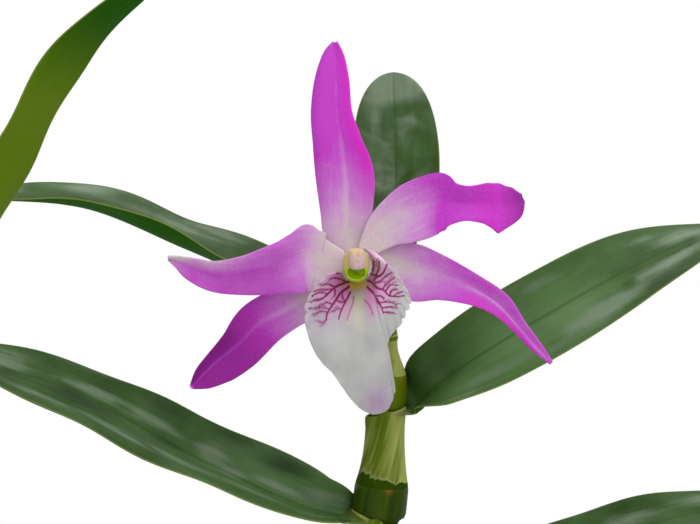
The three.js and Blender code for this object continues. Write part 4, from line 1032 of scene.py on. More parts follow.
def soft_green_stalk():
    """The tender skin of a young stalk: pale green, flushed purple towards the flower, smooth
    and a little translucent."""
    made, tree = finish("soft_green_stalk", {
        "IOR": 1.4, "Roughness": 0.45, "Subsurface Weight": 0.15,
        "Subsurface Radius": (0.6, 1.0, 0.4), "Subsurface Scale": 1.2 * MM})
    place = node(tree, "Attribute", attribute_name="straight").outputs["Vector"]
    flush = node(tree, "Attribute", attribute_name="flush").outputs["Fac"]
    long = node(tree, "Mapping", {"Vector": place, "Scale": (1, 1, 0.12)}).outputs[0]
    streak = node(tree, "TexNoise", {"Vector": long, "Scale": 1.6, "Detail": 3}).outputs["Fac"]
    green = node(tree, "ValToRGB", {"Fac": streak}, stops=[(0.3, "#86953f"), (0.7, "#bcc482")])
    green = node(tree, "Mix", {0: flush, 6: green.outputs[0], 7: "#b98ab4"},
                 data_type="RGBA").outputs[2]
    bump = node(tree, "Bump", {"Strength": 0.25, "Distance": 0.1 * MM, "Height": streak})
    return feed(made, {"Base Color": green, "Normal": bump.outputs[0]})


def pedicel():
    """A rod whose radius gains six ribs round the ovary, which twist and fade down the stalk."""
    steps = 110
    ribs = lambda share, turn: 0.16 * np.sin(6 * turn + 5 * share) * eased((0.55 - share) / 0.4)
    rings, flat = wand(PEDICEL, steps, 40, ribs)
    flush = 0.8 * eased(1 - np.linspace(0, 1, steps)[:, None] / 0.3)
    stalk = skin(in_bloom(rings), straight=flat, flush=flush)
    make_piece("flower_stalk", [stalk], soft_green_stalk(), ["pedicel"])


pedicel()

# The tepals: three sepals behind and two petals before them, thin, soft and crystalline, white at
# the base and magenta beyond. Each row of a tepal is [a, b, c, half-width on the left of its rib,
# on the right, fold in degrees].
TEPAL = {"thick": 0.6, "rib_round": 0.02, "rows": 120, "across": 45}
TEPALS = {
    "dorsal_sepal": [
        [-0.3, 1, -2.2, 1.6, 1.6, 0], [-1.7, 3.8, -2, 4.1, 3.7, 6], [-2.2, 8.3, -1.5, 4.5, 5.1, 8],
        [-2.4, 14.8, -1, 5.2, 5.5, 10], [-3.1, 20.7, -0.8, 5, 4, 12], [-3.8, 25.7, -1, 4.6, 3, 12],
        [-3.9, 31.3, -1.4, 3.9, 2.6, 14], [-4, 35.5, -1.9, 2.6, 1.9, 16],
        [-4, 37.6, -2.2, 1.4, 1, 16], [-4, 38.5, -2.3, 0.3, 0.3, 16],
    ],
    "petal_right": [
        [1.3, 0.4, -0.5, 1.4, 1.4, 0], [5, 4.9, -0.2, 3.4, 4, 4], [9.5, 7.7, 0.3, 4.9, 5.6, 6],
        [13, 9.2, 0.5, 5.1, 5.7, 8], [15.6, 9.5, 0.65, 5.3, 5.2, 12], [17.5, 9.4, 0.7, 3.8, 4.1, 22],
        [19.5, 9.3, 0.7, 3.55, 3.65, 30], [21.4, 9.2, 0.6, 3.7, 3.55, 24], [23, 9.1, 0.5, 4, 3.65, 16],
        [24.2, 9, 0.35, 4, 4.2, 12], [25.1, 9, 0.25, 4, 5.25, 11], [26, 9.05, 0.1, 3.9, 4.6, 10],
        [27.3, 9.25, -0.1, 3.3, 3.8, 8],
        [28.8, 9.7, -0.5, 2.5, 2.8, 6], [29.9, 10.2, -0.9, 0.8, 0.8, 4],
    ],
    "petal_left": [
        [-2.1, -0.6, -0.5, 1.4, 1.4, 0], [-5.8, -1.3, -0.2, 4.9, 4.9, 4], [-7.5, -1.1, 0, 5.4, 5.6, 5],
        [-9.2, -0.95, 0.2, 5.9, 6.5, 6], [-10.6, -1.15, 0.3, 6, 5.2, 6],
        [-12.8, -1.9, 0.5, 5.4, 4.6, 8], [-15.3, -2.7, 0.6, 4.6, 4.4, 10],
        [-20.2, -3.6, 0.6, 3.8, 3.6, 18],
        [-25.4, -3.8, 0.3, 3.1, 2.9, 22], [-29.5, -2.7, -0.3, 2.2, 2.3, 20],
        [-32.2, -1.4, -0.8, 1.1, 1.3, 16], [-34, -0.7, -1.2, 0.35, 0.35, 10],
    ],
    "lateral_sepal_left": [
        [-1.7, -2.2, -2.2, 1.4, 1.4, 0], [-7, -6.5, -2.1, 4, 4.4, 4], [-12.4, -10, -2.1, 3.5, 4.7, 6],
        [-17.6, -12.8, -2.2, 4.4, 4.6, 6], [-21.4, -16.6, -2.3, 4.4, 3.7, 8],
        [-25.4, -19.6, -2.5, 4.1, 2.4, 10], [-28, -22.1, -2.7, 2.6, 1.8, 10],
        [-30.1, -24, -3, 0.35, 0.35, 10],
    ],
    "lateral_sepal_right": [
        [1.8, -1.7, -2.2, 1.4, 1.4, 0], [5.9, -2.3, -2.1, 4.6, 4.8, 4], [10.8, -3.1, -2.1, 5, 5.4, 8],
        [15.8, -4, -2.2, 3.65, 4.4, 16], [21.2, -5.9, -2.3, 2.6, 3.7, 28], [25.7, -9, -2.5, 2.7, 2.5, 34],
        [29.3, -13, -2.8, 1.7, 1.5, 34], [32.6, -16.9, -3.1, 1.2, 1, 26],
        [35.3, -19.5, -3.4, 0.3, 0.3, 20],
    ],
}


def tepal_tissue():
    """Fresh petal tissue: thin, wet cells, soft and slightly see-through, whose fine frost of tiny
    crystals of light is painted into the colour as light and dark specks. White runs into magenta,
    with fine darker veins along the length."""
    made, tree = finish("tepal_tissue", {
        "IOR": 1.4, "Roughness": 0.5, "Specular IOR Level": 0.25, "Subsurface Weight": 0.2,
        "Subsurface Radius": (1.0, 0.5, 0.9), "Subsurface Scale": 1.0 * MM,
        "Sheen Weight": 0.05, "Sheen Roughness": 0.5, "Sheen Tint": linear("#f6e6f6")})
    place = node(tree, "Attribute", attribute_name="flat").outputs["Vector"]
    blush = node(tree, "Attribute", attribute_name="blush").outputs["Fac"]
    deep = node(tree, "Attribute", attribute_name="deep").outputs["Fac"]
    vivid = node(tree, "Attribute", attribute_name="vivid").outputs["Fac"]
    long = node(tree, "Mapping", {"Vector": place, "Scale": (1, 0.1, 1)}).outputs[0]
    vein = node(tree, "TexNoise", {"Vector": long, "Scale": 1.5, "Detail": 3}).outputs["Fac"]
    cloud = node(tree, "TexNoise", {"Vector": place, "Scale": 1 / 3.5, "Detail": 5}).outputs["Fac"]
    frost = node(tree, "TexNoise", {"Vector": place, "Scale": 3.2, "Detail": 2}).outputs["Fac"]
    uneven = node(tree, "Math", {0: cloud, 1: 0.5}, operation="SUBTRACT").outputs[0]
    uneven = node(tree, "Math", {0: uneven, 1: 0.35, 2: blush}, operation="MULTIPLY_ADD").outputs[0]
    uneven = node(tree, "Math", {0: vein, 1: 0.22, 2: uneven}, operation="MULTIPLY_ADD").outputs[0]
    colour = node(tree, "ValToRGB", {"Fac": uneven}, stops=[
        (0.1, "#dccfd2"), (1.0, "#ca46cd"), (0.34, "#dab4d8"), (0.64, "#d283d6")]).outputs[0]
    colour = node(tree, "Mix", {0: deep, 6: colour, 7: "#690071"}, data_type="RGBA").outputs[2]
    colour = node(tree, "Mix", {0: vivid, 6: colour, 7: "#dc30cc"}, data_type="RGBA").outputs[2]
    # Painted glints: light and dark specks from the frost noise, soft-lit into the colour.
    painted_glint = node(tree, "ValToRGB", {"Fac": frost}, stops=[
        (0.32, "#606060"), (0.72, "#c8c8c8"), (0.6, "#8c8c8c")])
    colour = node(tree, "Mix", {0: 0.5, 6: colour, 7: painted_glint.outputs[0]}, data_type="RGBA",
                  blend_type="SOFT_LIGHT").outputs[2]
    bump = node(tree, "Bump", {"Strength": 0.3, "Distance": 0.15 * MM, "Height": vein})
    bump = node(tree, "Bump", {"Strength": 0.25, "Distance": 0.06 * MM, "Height": frost,
                               "Normal": bump.outputs[0]})
    return feed(made, {"Base Color": colour, "Normal": bump.outputs[0]})


def tepal_sheet(rows, curl):
    """A tepal as a folded sheet over shares s along its rib and places v across it. curl(s, v) is
    its further lift. Returns the sheet, s, v and the half-widths."""
    end = len(rows) - 1
    s = np.linspace(0, 1, TEPAL["rows"])
    line = through(rows, s * end)
    along = direction(lambda at: through(rows, at), s * end, 0.1, end)
    up = facing(along, np.array([0.0, 0.0, 1.0]), np.zeros(len(s)))
    v = across(TEPAL["across"])
    width = np.where(v < 0, np.maximum(line[:, 3:4], 0.25), np.maximum(line[:, 4:5], 0.25))
    middle = folded(line[:, :3], along, up, v, width, np.radians(line[:, 5:6]), TEPAL["rib_round"],
                    curl(s[:, None], v))
    return middle, s[:, None], v, width


# How each tepal differs: curl lifts it towards the viewer, blush is how far the white has turned
# magenta, deep is how far that has darkened and vivid is how far it has turned to pure magenta,
# all by share s along and place v across. A look that is left out is 0 all over.
TEPAL_LOOKS = {
    "dorsal_sepal": {
        "curl": lambda s, v: 0.35 * np.sin(2.5 * math.pi * s) * v,
        "blush": lambda s, v: eased((s - 0.05 + 0.06 * np.abs(v)) / 0.5) - 0.22 * bell(v, 0.05, 0.09)
        - 0.5 * eased((s - 0.95) / 0.05),
        "deep": lambda s, v: 0.2 * bell(v, -1, 0.25) * eased(s / 0.4),
        "vivid": lambda s, v: 0.85 * eased((v - 0.1) / 0.8) * eased((s - 0.2) / 0.2)
        * eased((1.1 - s) / 0.4),
    },
    "petal_right": {
        "curl": lambda s, v: 0.3 * np.sin(5 * s + 1) * v * v - 0.5 * eased((s - 0.75) / 0.25) * v,
        "blush": lambda s, v: eased((s - 0.04 + 0.06 * np.abs(v)) / 0.33),
        # Darker at the tip: its own deeper magenta, with painted shade where it curls back.
        "deep": lambda s, v: 0.5 * eased((s - 0.7) / 0.3),
        "vivid": lambda s, v: 0.36 * eased((s - 0.4) / 0.2) * eased((1.05 - s) / 0.35),
    },
    "petal_left": {
        "curl": lambda s, v: 0.9 * eased((s - 0.35) / 0.3) * eased((v - 0.35) / 0.65),
        "blush": lambda s, v: 0.62 * eased((s - 0.08 + 0.06 * np.abs(v)) / 0.45)
        + 0.14 * eased((s - 0.42) / 0.2) * eased((0.55 - v) / 0.5) - 0.4 * eased((s - 0.8) / 0.15)
        - 0.35 * bell(v, 0.9, 0.4) * eased((s - 0.55) / 0.2),
        "deep": lambda s, v: 0.22 * eased((s - 0.4) / 0.15) * eased((0.45 - v) / 0.5)
        * eased((0.86 - s) / 0.25) + 0.16 * bell(s, 0.45, 0.15) * bell(v, 0.4, 0.35),
    },
    "lateral_sepal_left": {
        "curl": lambda s, v: 0.3 * np.sin(6 * s) * v,
        "blush": lambda s, v: eased((s - 0.1) / 0.4) - 0.2 * bell(v, 0.1, 0.12)
        - 0.9 * eased((s - 0.965) / 0.03),
        "deep": lambda s, v: (0.72 + 0.28 * eased(v + 0.3)) * eased((s - 0.28) / 0.35)
        * (1 - 0.5 * bell(v, 0.1, 0.12)) * (1 - eased((s - 0.95) / 0.03)),
        "vivid": lambda s, v: 0.2 * eased((s - 0.3) / 0.2) * (1 - bell(v, 0.1, 0.15)),
    },
    "lateral_sepal_right": {
        "curl": lambda s, v: -0.5 * eased((s - 0.4) / 0.3) * eased((v - 0.3) / 0.7),
        "blush": lambda s, v: 0.77 * eased((s - 0.06 + 0.1 * np.abs(v)) / 0.5) - 0.12 * bell(v, -0.1, 0.3)
        - 0.35 * bell(v, 0.15, 0.12) * eased((s - 0.42) / 0.1),
        "vivid": lambda s, v: 0.55 * eased((s - 0.42) / 0.12) * eased((v - 0.3) / 0.25)
        * eased((0.95 - s) / 0.15),
    },
}


def tepals():
    """Each tepal is its sheet, made 0.6 mm thick and thinner to its edge, in the flower's frame."""
    tissue = tepal_tissue()
    plain = lambda s, v: 0 * s * v
    for k, (name, rows) in enumerate(TEPALS.items()):
        looks = TEPAL_LOOKS[name]
        middle, s, v, width = tepal_sheet(rows, looks["curl"])
        edge = TEPAL["thick"] / 2 * np.sqrt(1 - 0.85 * v ** 8) + 0 * s
        run = lengths(middle[:, middle.shape[1] // 2])[:, None]
        facts = {key: np.clip(looks.get(key, plain)(s, v), 0, 1) for key in ("blush", "deep", "vivid")}
        facts["flat"] = np.stack([v * width, run + 0 * v, 23.0 * k + 0 * v * width], -1)
        sheet = sheet_skin(in_bloom(middle), edge, edge, facts, {})
        make_piece(name + "_tissue", [sheet], tissue, [name])


tepals()

# The lip: a flared white trumpet, open at the top, whose side lobes carry branching purple veins
# round a yellow throat. Its margin runs from the top of the left lobe round the long middle lobe
# to the top of the right lobe, as [a, b]. Depths are at the throat, the bulge and the margin.
LIP = {"thick": 0.5, "reach": 1.3, "frills": 7, "frill_height": 0.35, "crimps": 31,
       "crimp_height": 0.16, "notches": [0.16, 0.535, 0.731, 0.762, 0.79], "notch_depth": 0.5,
       "notch_share": 0.006, "round": 330, "out": 110}
LIP_MARGIN = [
    [-3.3, -3.1], [-5.1, -3.5], [-6.9, -5.3], [-8.2, -6.7], [-9.2, -8.9], [-9.3, -11.2],
    [-8.7, -14], [-7.6, -17], [-6, -19.3], [-4.2, -21.1], [-2.3, -23.9], [-0.2, -26.6],
    [1.8, -28], [3.5, -28.3], [5.3, -27.6], [6.2, -26], [6.7, -24.3], [6.4, -22.1],
    [5.5, -19], [5.3, -16.1], [6.2, -14], [8, -12], [8.7, -10.3], [9.5, -8.9],
    [9.2, -7.1], [7.8, -4.5], [6, -2.4], [4.6, -0.8], [3, 0.3], [1.4, 0.7],
]
LIP_DEPTH = [
    [3.5, 6.5, 7.5], [2, 7, 8.5], [1, 8, 9], [1, 12, 7.5], [1, 15, 5],
    [1, 12, 7.5], [4.2, 8.6, 9], [6.8, 8.2, 8.4], [7, 7, 7],
]
THROAT = {"centre": [-0.2, -1.8], "half": [3.1, 3.4], "from": 203, "to": 426}
# Veins as a width and the a, b of each point from the throat out. Those that are wider than
# MAIN_VEIN carry no twigs.
MAIN_VEIN = 0.35
VEINS = [
    [0.5, -1.4, -4.8, -3.4, -5.4, -4.5, -6.1, -5.5, -7.1, -6.5, -7.9, -7.5, -8.2],
    [0.24, -2.1, -3.9, -2.7, -3.4, -3.3, -3.1, -3.7, -3.2],
    [0.3, -2.3, -4.8, -3.3, -4.2, -4.2, -3.9, -5.2, -4.2],
    [0.3, -3.7, -5.6, -4.6, -5.5, -5.4, -5.1, -6.5, -5.4],
    [0.26, -4.5, -6.1, -5.6, -6.1, -6.6, -6.0, -7.7, -6.3],
    [0.26, -5.4, -6.9, -6.3, -6.7, -7.2, -6.8, -8.1, -7.4],
    [0.26, -5.6, -7.3, -6.5, -7.8, -7.4, -8.0, -8.3, -8.5],
    [0.2, -4.2, -6.0, -4.0, -6.7, -4.1, -7.5],
    [0.54, -1.6, -5.8, -3.1, -6.9, -3.8, -7.9, -4.6, -9.1, -5.4, -10.4, -5.6, -11.6],
    [0.28, -4.6, -8.8, -5.6, -8.5, -7.0, -9.3, -8.5, -9.6],
    [0.2, -5.1, -9.7, -6.2, -9.4, -7.4, -9.8],
    [0.26, -5.4, -10.2, -6.5, -10.0, -7.2, -10.3, -8.0, -10.5],
    [0.22, -5.5, -11.4, -6.1, -11.9, -6.9, -11.7],
    [0.2, -2.8, -6.7, -2.6, -7.6, -2.2, -8.3],
    [0.46, -1.3, -6.9, -1.6, -7.6, -2.4, -9.1, -3.0, -10.4, -3.3, -11.5],
    [0.22, -2.0, -8.4, -3.0, -8.6, -3.7, -8.2],
    [0.2, -2.7, -9.8, -3.6, -9.7, -4.3, -10.2],
    [0.48, 2.1, -3.3, 3.2, -3.6, 4.1, -3.8, 4.9, -3.0, 5.3, -1.8],
    [0.26, 2.0, -2.0, 2.5, -1.7, 3.0, -1.5, 3.3, -1.0],
    [0.28, 2.9, -3.5, 3.2, -2.2, 3.1, -0.7],
    [0.28, 3.6, -3.6, 4.1, -2.4, 4.1, -1.0],
    [0.24, 2.2, -2.8, 2.8, -2.6, 3.1, -2.4],
    [0.48, 2.1, -4.7, 3.1, -5.3, 3.9, -6.0, 4.7, -6.3, 5.9, -7.3, 8.3, -7.3],
    [0.28, 2.9, -5.1, 3.6, -4.2, 4.3, -3.8],
    [0.3, 3.1, -5.3, 3.5, -5.0, 4.4, -4.6, 5.3, -3.6, 6.2, -3.0],
    [0.28, 4.5, -6.2, 5.3, -5.3, 6.0, -4.6, 6.7, -4.0],
    [0.26, 5.1, -6.5, 5.6, -5.8, 6.2, -5.3, 7.0, -5.5],
    [0.26, 5.9, -7.2, 6.1, -6.4, 7.1, -6.0],
    [0.2, 6.6, -7.3, 7.2, -6.7, 7.9, -6.5],
    [0.46, 2.0, -5.9, 2.8, -6.7, 3.5, -7.6, 4.1, -8.8, 4.6, -10.3],
    [0.26, 4.0, -8.5, 5.3, -8.4, 6.2, -8.5, 7.1, -8.9],
    [0.26, 4.4, -9.4, 5.6, -9.2, 7.0, -9.2],
    [0.2, 4.6, -10.2, 5.6, -10.1, 6.6, -10.2],
    [0.22, 3.3, -7.4, 4.2, -7.3, 4.9, -7.7],
]
FAINT_VEINS = [
    [0.4, -0.6, -7.6, -0.7, -8.7, -1.3, -10.2, -1.8, -11.7],
    [0.42, 1.5, -8.2, 2.2, -8.9, 2.7, -10.0, 2.9, -10.7],
]


def lip_sheet(share, reach):
    """The lip as a sheet over shares round it and reaches out from the throat. Each point lies
    between the throat's arc and the margin, which a few small notches cut into. Its depth is a
    quadratic curve through the bulge. Frills and finer crimps are sines that grow with the
    fourth and the ninth power of the reach."""
    turn = np.radians(THROAT["from"] + (THROAT["to"] - THROAT["from"]) * share)
    inner = np.array(THROAT["centre"]) + np.array(THROAT["half"]) * np.concatenate(
        [np.cos(turn), np.sin(turn)], -1)
    outer = through(LIP_MARGIN, share[:, 0] * (len(LIP_MARGIN) - 1))
    notches = sum(bell(share, at, LIP["notch_share"]) for at in LIP["notches"])
    depth = through(LIP_DEPTH, share[:, 0] * (len(LIP_DEPTH) - 1))[:, None]
    spread = (reach ** LIP["reach"])[..., None]
    flat = inner[:, None] + (outer - inner)[:, None] * spread
    cut = LIP["notch_depth"] * notches * reach ** 16
    flat = flat - cut[..., None] * unit(outer - inner)[:, None]
    left = 1 - reach
    deep = left * left * depth[..., 0] + 2 * left * reach * depth[..., 1] + reach ** 2 * depth[..., 2]
    frill = LIP["frill_height"] * np.sin(2 * math.pi * LIP["frills"] * share) * reach ** 4
    crimp = 2 * math.pi * LIP["crimps"] * share + 4 * np.sin(9 * share)
    crimp = LIP["crimp_height"] * np.sin(crimp) * reach ** 9
    return np.concatenate([flat, (deep + frill + crimp)[..., None]], -1)


def vein_mark(a, b, line, width):
    """How dark a vein is at each point: 1 along its middle, and 0 beyond its soft edge. The
    distance is to the nearest of the line's short stretches, and the vein narrows to its end."""
    mark = np.zeros_like(a)
    tapering = np.linspace(1, 0.45, len(line))
    for k in range(len(line) - 1):
        (a0, b0), (a1, b1) = line[k], line[k + 1]
        da, db = a1 - a0, b1 - b0
        t = np.clip(((a - a0) * da + (b - b0) * db) / (da * da + db * db), 0, 1)
        away = np.hypot(a - a0 - t * da, b - b0 - t * db)
        half = width / 2 * tapering[k]
        mark = np.maximum(mark, 1 - eased((away - 0.55 * half) / (0.5 * half + 0.07)))
    return mark


def vein_tree(a, b, veins, draw):
    """The marks of all the veins, and of four fine twigs on each side vein, which leave it on one
    side and bend back along it."""
    mark = np.zeros_like(a)
    for width, *rows in veins:
        line = through(np.reshape(rows, (-1, 2)), np.linspace(0, len(rows) / 2 - 1, 26))
        line = line + draw.normal(0, 0.025, line.shape)
        mark = np.maximum(mark, vein_mark(a, b, line, width))
        if width > MAIN_VEIN:
            continue
        side = draw.choice([-1, 1])
        for at in (6, 11, 16, 21):
            ahead = line[at + 3] - line[at - 3]
            head = math.atan2(ahead[1], ahead[0]) + side * draw.uniform(0.5, 0.8)
            bend = head - side * 0.5
            reach = draw.uniform(0.5, 1.1)
            steps = np.array([[0, 0], [math.cos(head), math.sin(head)],
                              [math.cos(head) + math.cos(bend), math.sin(head) + math.sin(bend)]])
            mark = np.maximum(mark, 0.65 * vein_mark(a, b, line[at] + reach / 2 * steps, 0.16))
    return mark


def lip_tissue():
    """The lip's tissue: thicker and whiter than a petal's, with a soft felt of short cells, dark
    purple veins that bleed pink between them, and a yellow throat. A pale pink is painted beside
    the column as light over the shade there."""
    made, tree = finish("lip_tissue", {
        "IOR": 1.4, "Roughness": 0.6, "Subsurface Weight": 0.2,
        "Subsurface Radius": (1.0, 0.9, 0.8), "Subsurface Scale": 0.8 * MM,
        "Sheen Weight": 0.2, "Sheen Roughness": 0.4})
    place = node(tree, "TexCoord").outputs["Object"]
    felt = node(tree, "TexNoise", {"Vector": place, "Scale": 1 / (0.4 * MM), "Detail": 3}).outputs["Fac"]
    cloud = node(tree, "TexNoise", {"Vector": place, "Scale": 1 / (4 * MM), "Detail": 4}).outputs["Fac"]
    colour = node(tree, "ValToRGB", {"Fac": cloud}, stops=[(0.3, "#a9a9a9"), (0.7, "#bbbbba")]).outputs[0]
    for key, tint in (("cream", "#c6c0a6"), ("lilac", "#a988ae"), ("pink", "#dc86cc"),
                      ("painted_lip_light", "#f4d8ee"), ("yellow", "#f0d41c"), ("faint", "#ad4f8c"),
                      ("vein", "#8a0c5e")):
        share = node(tree, "Attribute", attribute_name=key).outputs["Fac"]
        colour = node(tree, "Mix", {0: share, 6: colour, 7: tint}, data_type="RGBA").outputs[2]
    bump = node(tree, "Bump", {"Strength": 0.3, "Distance": 0.1 * MM, "Height": felt})
    bump = node(tree, "Bump", {"Strength": 0.4, "Distance": 0.5 * MM, "Height": cloud,
                               "Normal": bump.outputs[0]})
    return feed(made, {"Base Color": colour, "Normal": bump.outputs[0]})


def lip():
    """The lip's sheet, made 0.5 mm thick. Its marks are worked out in the plane of the flower:
    veins, faint veins, and soft ovals of pink, cream, yellow and lilac. Beside the column the pink
    thins and an oval of pale pink is painted as light over the shade there."""
    draw = np.random.default_rng(31)
    share = np.linspace(0, 1, LIP["round"])[:, None]
    reach = (1 - (1 - np.linspace(0, 1, LIP["out"])) ** 1.15)[None, :]
    middle = lip_sheet(share, reach)
    a, b = middle[..., 0], middle[..., 1]
    near = np.hypot(a, b + 4)
    marks = {
        "vein": np.minimum(1.2 * vein_tree(a, b, VEINS, draw), 1),
        "faint": 0.75 * vein_tree(a, b, FAINT_VEINS, draw),
        # The pink thins beside the column: painted light over the shade there.
        "pink": (0.85 - 0.2 * oval(a, b, 4, -2, 2.4, 3)) * (1 - eased((near - 3) / 7))
        * eased((np.abs(a - 0.2) - 0.9) / 1.2),
        "cream": 0.7 * oval(a, b, 0.3, -9, 1.6, 5),
        "yellow": np.clip(1.5 * oval(a, b, -0.2, -5.3, 1.9, 0.8), 0, 1),
        # Painted light: pale pink beside the column, over the shade there.
        "painted_lip_light": 0.75 * oval(a, b, 3.3, -1.8, 1.7, 2.4),
        "lilac": np.maximum(0.85 * oval(a, b, 3.6, -26, 2.3, 2.7), 0.7 * oval(a, b, -6.7, -9.5, 3, 4)),
    }
    edge = LIP["thick"] / 2 * np.sqrt(1 - 0.8 * reach ** 10) + 0 * share
    behind = {key: (0.35 if key == "vein" else 0.6) * mark for key, mark in marks.items()}
    sheet = sheet_skin(in_bloom(middle), edge, edge, marks, behind)
    make_piece("lip_trumpet", [sheet], lip_tissue(), ["lip"])


lip()

# The column: the fused stamen and style in the flower's middle, a waxy cream post with yellow
# sides. Under its end is the hollow green stigma, and above that sits the anther cap, a small
# two-lobed lid over the pollen. Rows are [a, b, c, half-width, half-height].
COLUMN = [
    [-0.1, -1, -2.5, 0.9, 0.9], [-0.1, -1.1, -0.6, 0.9, 0.9], [-0.1, -1.4, 0.6, 1.6, 1.7],
    [-0.2, -1.8, 2.4, 2.2, 2.5], [-0.2, -1.8, 6, 2.3, 2.9], [-0.2, -1.8, 8.8, 2.3, 3],
    [-0.2, -1.8, 9.5, 2.1, 2.8],
]
STIGMA = {"centre": [-0.1, -3.1], "half": [1.6, 1.2], "deep": 1.4}
CAP = {"centre": [0, -0.75, 9.7], "half": [1.45, 1.9, 1.6]}


def waxy_column():
    """The column's waxy flesh: cream flushed yellow at its edges, bright wet green in the stigma's
    hollow, and faintly see-through."""
    made, tree = finish("waxy_column", {
        "IOR": 1.45, "Subsurface Weight": 0.2, "Subsurface Radius": (1.0, 0.8, 0.4),
        "Subsurface Scale": 1.0 * MM})
    place = node(tree, "TexCoord").outputs["Object"]
    green = node(tree, "Attribute", attribute_name="stigma").outputs["Fac"]
    gold = node(tree, "Attribute", attribute_name="gold").outputs["Fac"]
    cloud = node(tree, "TexNoise", {"Vector": place, "Scale": 1 / (1.2 * MM), "Detail": 3}).outputs["Fac"]
    cream = node(tree, "ValToRGB", {"Fac": cloud}, stops=[(0.3, "#c9b49c"), (0.7, "#d8c8b4")]).outputs[0]
    cream = node(tree, "Mix", {0: gold, 6: cream, 7: "#b79f48"}, data_type="RGBA").outputs[2]
    wet = node(tree, "ValToRGB", {"Fac": cloud}, stops=[(0.3, "#87a500"), (0.7, "#a2c208")]).outputs[0]
    cream = node(tree, "Mix", {0: green, 6: cream, 7: wet}, data_type="RGBA").outputs[2]
    rough = node(tree, "MapRange", {"Value": green, "To Min": 0.5, "To Max": 0.22}).outputs[0]
    bump = node(tree, "Bump", {"Strength": 0.2, "Distance": 0.15 * MM, "Height": cloud})
    return feed(made, {"Base Color": cream, "Roughness": rough, "Normal": bump.outputs[0]})


def column():
    """Oval rings up the post, then rings that shrink over its end towards the stigma, whose
    hollow is half an ellipsoid sunk into the end."""
    sides = 64
    turn = turns(sides)
    rows = through(COLUMN, np.linspace(0, len(COLUMN) - 1, 60))
    squared = (np.abs(np.cos(turn)) ** 2.5 + np.abs(np.sin(turn)) ** 2.5) ** -0.4
    post = np.stack([rows[:, 0, None] + rows[:, 3, None] * squared * np.cos(turn),
                     rows[:, 1, None] + rows[:, 4, None] * squared * np.sin(turn),
                     rows[:, 2, None] + 0 * turn], -1)
    shrink = np.linspace(0.04, 0.985, 40)[:, None]
    middle = np.array([*STIGMA["centre"], COLUMN[-1][2]])
    end = post[-1][None] + (middle - post[-1][None]) * shrink[..., None]
    away = np.hypot(*((end[..., k] - middle[k]) / STIGMA["half"][k] for k in (0, 1)))
    hollow = np.sqrt(np.maximum(1 - away ** 2, 0))
    end[..., 2] += 0.25 * np.sin(math.pi * shrink) - STIGMA["deep"] * hollow
    rings = np.concatenate([post, end])
    low = eased((-1.9 - rings[..., 1]) / 0.9) * eased((rings[..., 2] - 8.7) / 0.5)
    wet = np.maximum(low, np.concatenate([np.zeros((60, sides)), eased(hollow * 3)]))
    out = np.concatenate([np.abs(np.cos(turn))[None] * eased((rows[:, 2, None] - 3) / 4),
                          np.abs(np.cos(turn))[None] * (1 - 0.3 * shrink)])
    out = np.maximum(out, eased((-2.8 - rings[..., 1]) / 1.2))
    post = skin(in_bloom(rings), stigma=wet, gold=0.85 * out)
    make_piece("column_post", [post], waxy_column(), ["column"])


def anther_cap_skin():
    """The anther cap's skin: smooth, waxy, white flushed pink, with a soft shine."""
    made, tree = finish("anther_cap_skin", {
        "IOR": 1.45, "Roughness": 0.38, "Subsurface Weight": 0.25,
        "Subsurface Radius": (1.0, 0.7, 0.7), "Subsurface Scale": 0.8 * MM})
    place = node(tree, "TexCoord").outputs["Object"]
    cloud = node(tree, "TexNoise", {"Vector": place, "Scale": 1 / (1.4 * MM), "Detail": 3}).outputs["Fac"]
    crown = node(tree, "Attribute", attribute_name="crown").outputs["Fac"]
    colour = node(tree, "ValToRGB", {"Fac": cloud}, stops=[
        (0.32, "#cba69a"), (0.68, "#dac6cc"), (0.5, "#d2b4b4")]).outputs[0]
    colour = node(tree, "Mix", {0: crown, 6: colour, 7: "#cbab74"}, data_type="RGBA").outputs[2]
    bump = node(tree, "Bump", {"Strength": 0.2, "Distance": 0.1 * MM, "Height": cloud})
    return feed(made, {"Base Color": colour, "Normal": bump.outputs[0]})


def anther_cap():
    """Half an ellipsoid of latitude rings, squared a little, with a shallow furrow down its
    middle that makes its two lobes."""
    sides = 56
    turn = turns(sides)
    rise = np.radians(np.concatenate([[0], np.linspace(2, 88.5, 34)]))[:, None]
    squared = (np.abs(np.cos(turn)) ** 3.2 + np.abs(np.sin(turn)) ** 3.2) ** (-1 / 3.2)
    a = CAP["half"][0] * np.cos(rise) * squared * np.cos(turn)
    b = CAP["half"][1] * np.cos(rise) * squared * np.sin(turn)
    c = CAP["half"][2] * np.sin(rise) * (1 - 0.22 * bell(a, 0, 0.35))
    rings = np.stack([a, b, c + 0 * turn], -1) + np.array(CAP["centre"])
    crown = 0.85 * eased((rings[..., 1] - CAP["centre"][1] - 0.2) / 1.2)
    lid = skin(in_bloom(rings), crown=crown)
    make_piece("anther_lid", [lid], anther_cap_skin(), ["anther_cap"])


column()
anther_cap()

# The studio: a pale round floor under the pot, a white surround, three large soft lamps and the
# camera at the flower's height, looking 8 degrees down at it from half a metre.
STUDIO = {"floor_radius": 0.9, "ahead": 0.42, "behind": 0.8}
CAMERA = {"distance": 500, "down": 8, "mm_a_pixel": 0.18, "picture_width": 700, "film": 36,
          "aim_off": [-7, -7]}


def pale_card():
    """Matt studio card: smooth, even and off-white."""
    made, tree = finish("pale_card", {"Roughness": 0.9})
    place = node(tree, "TexCoord").outputs["Object"]
    tooth = node(tree, "TexNoise", {"Vector": place, "Scale": 1 / (40 * MM), "Detail": 3}).outputs["Fac"]
    colour = node(tree, "ValToRGB", {"Fac": tooth}, stops=[(0.3, "#e9e9e7"), (0.7, "#efefed")]).outputs[0]
    return feed(made, {"Base Color": colour})


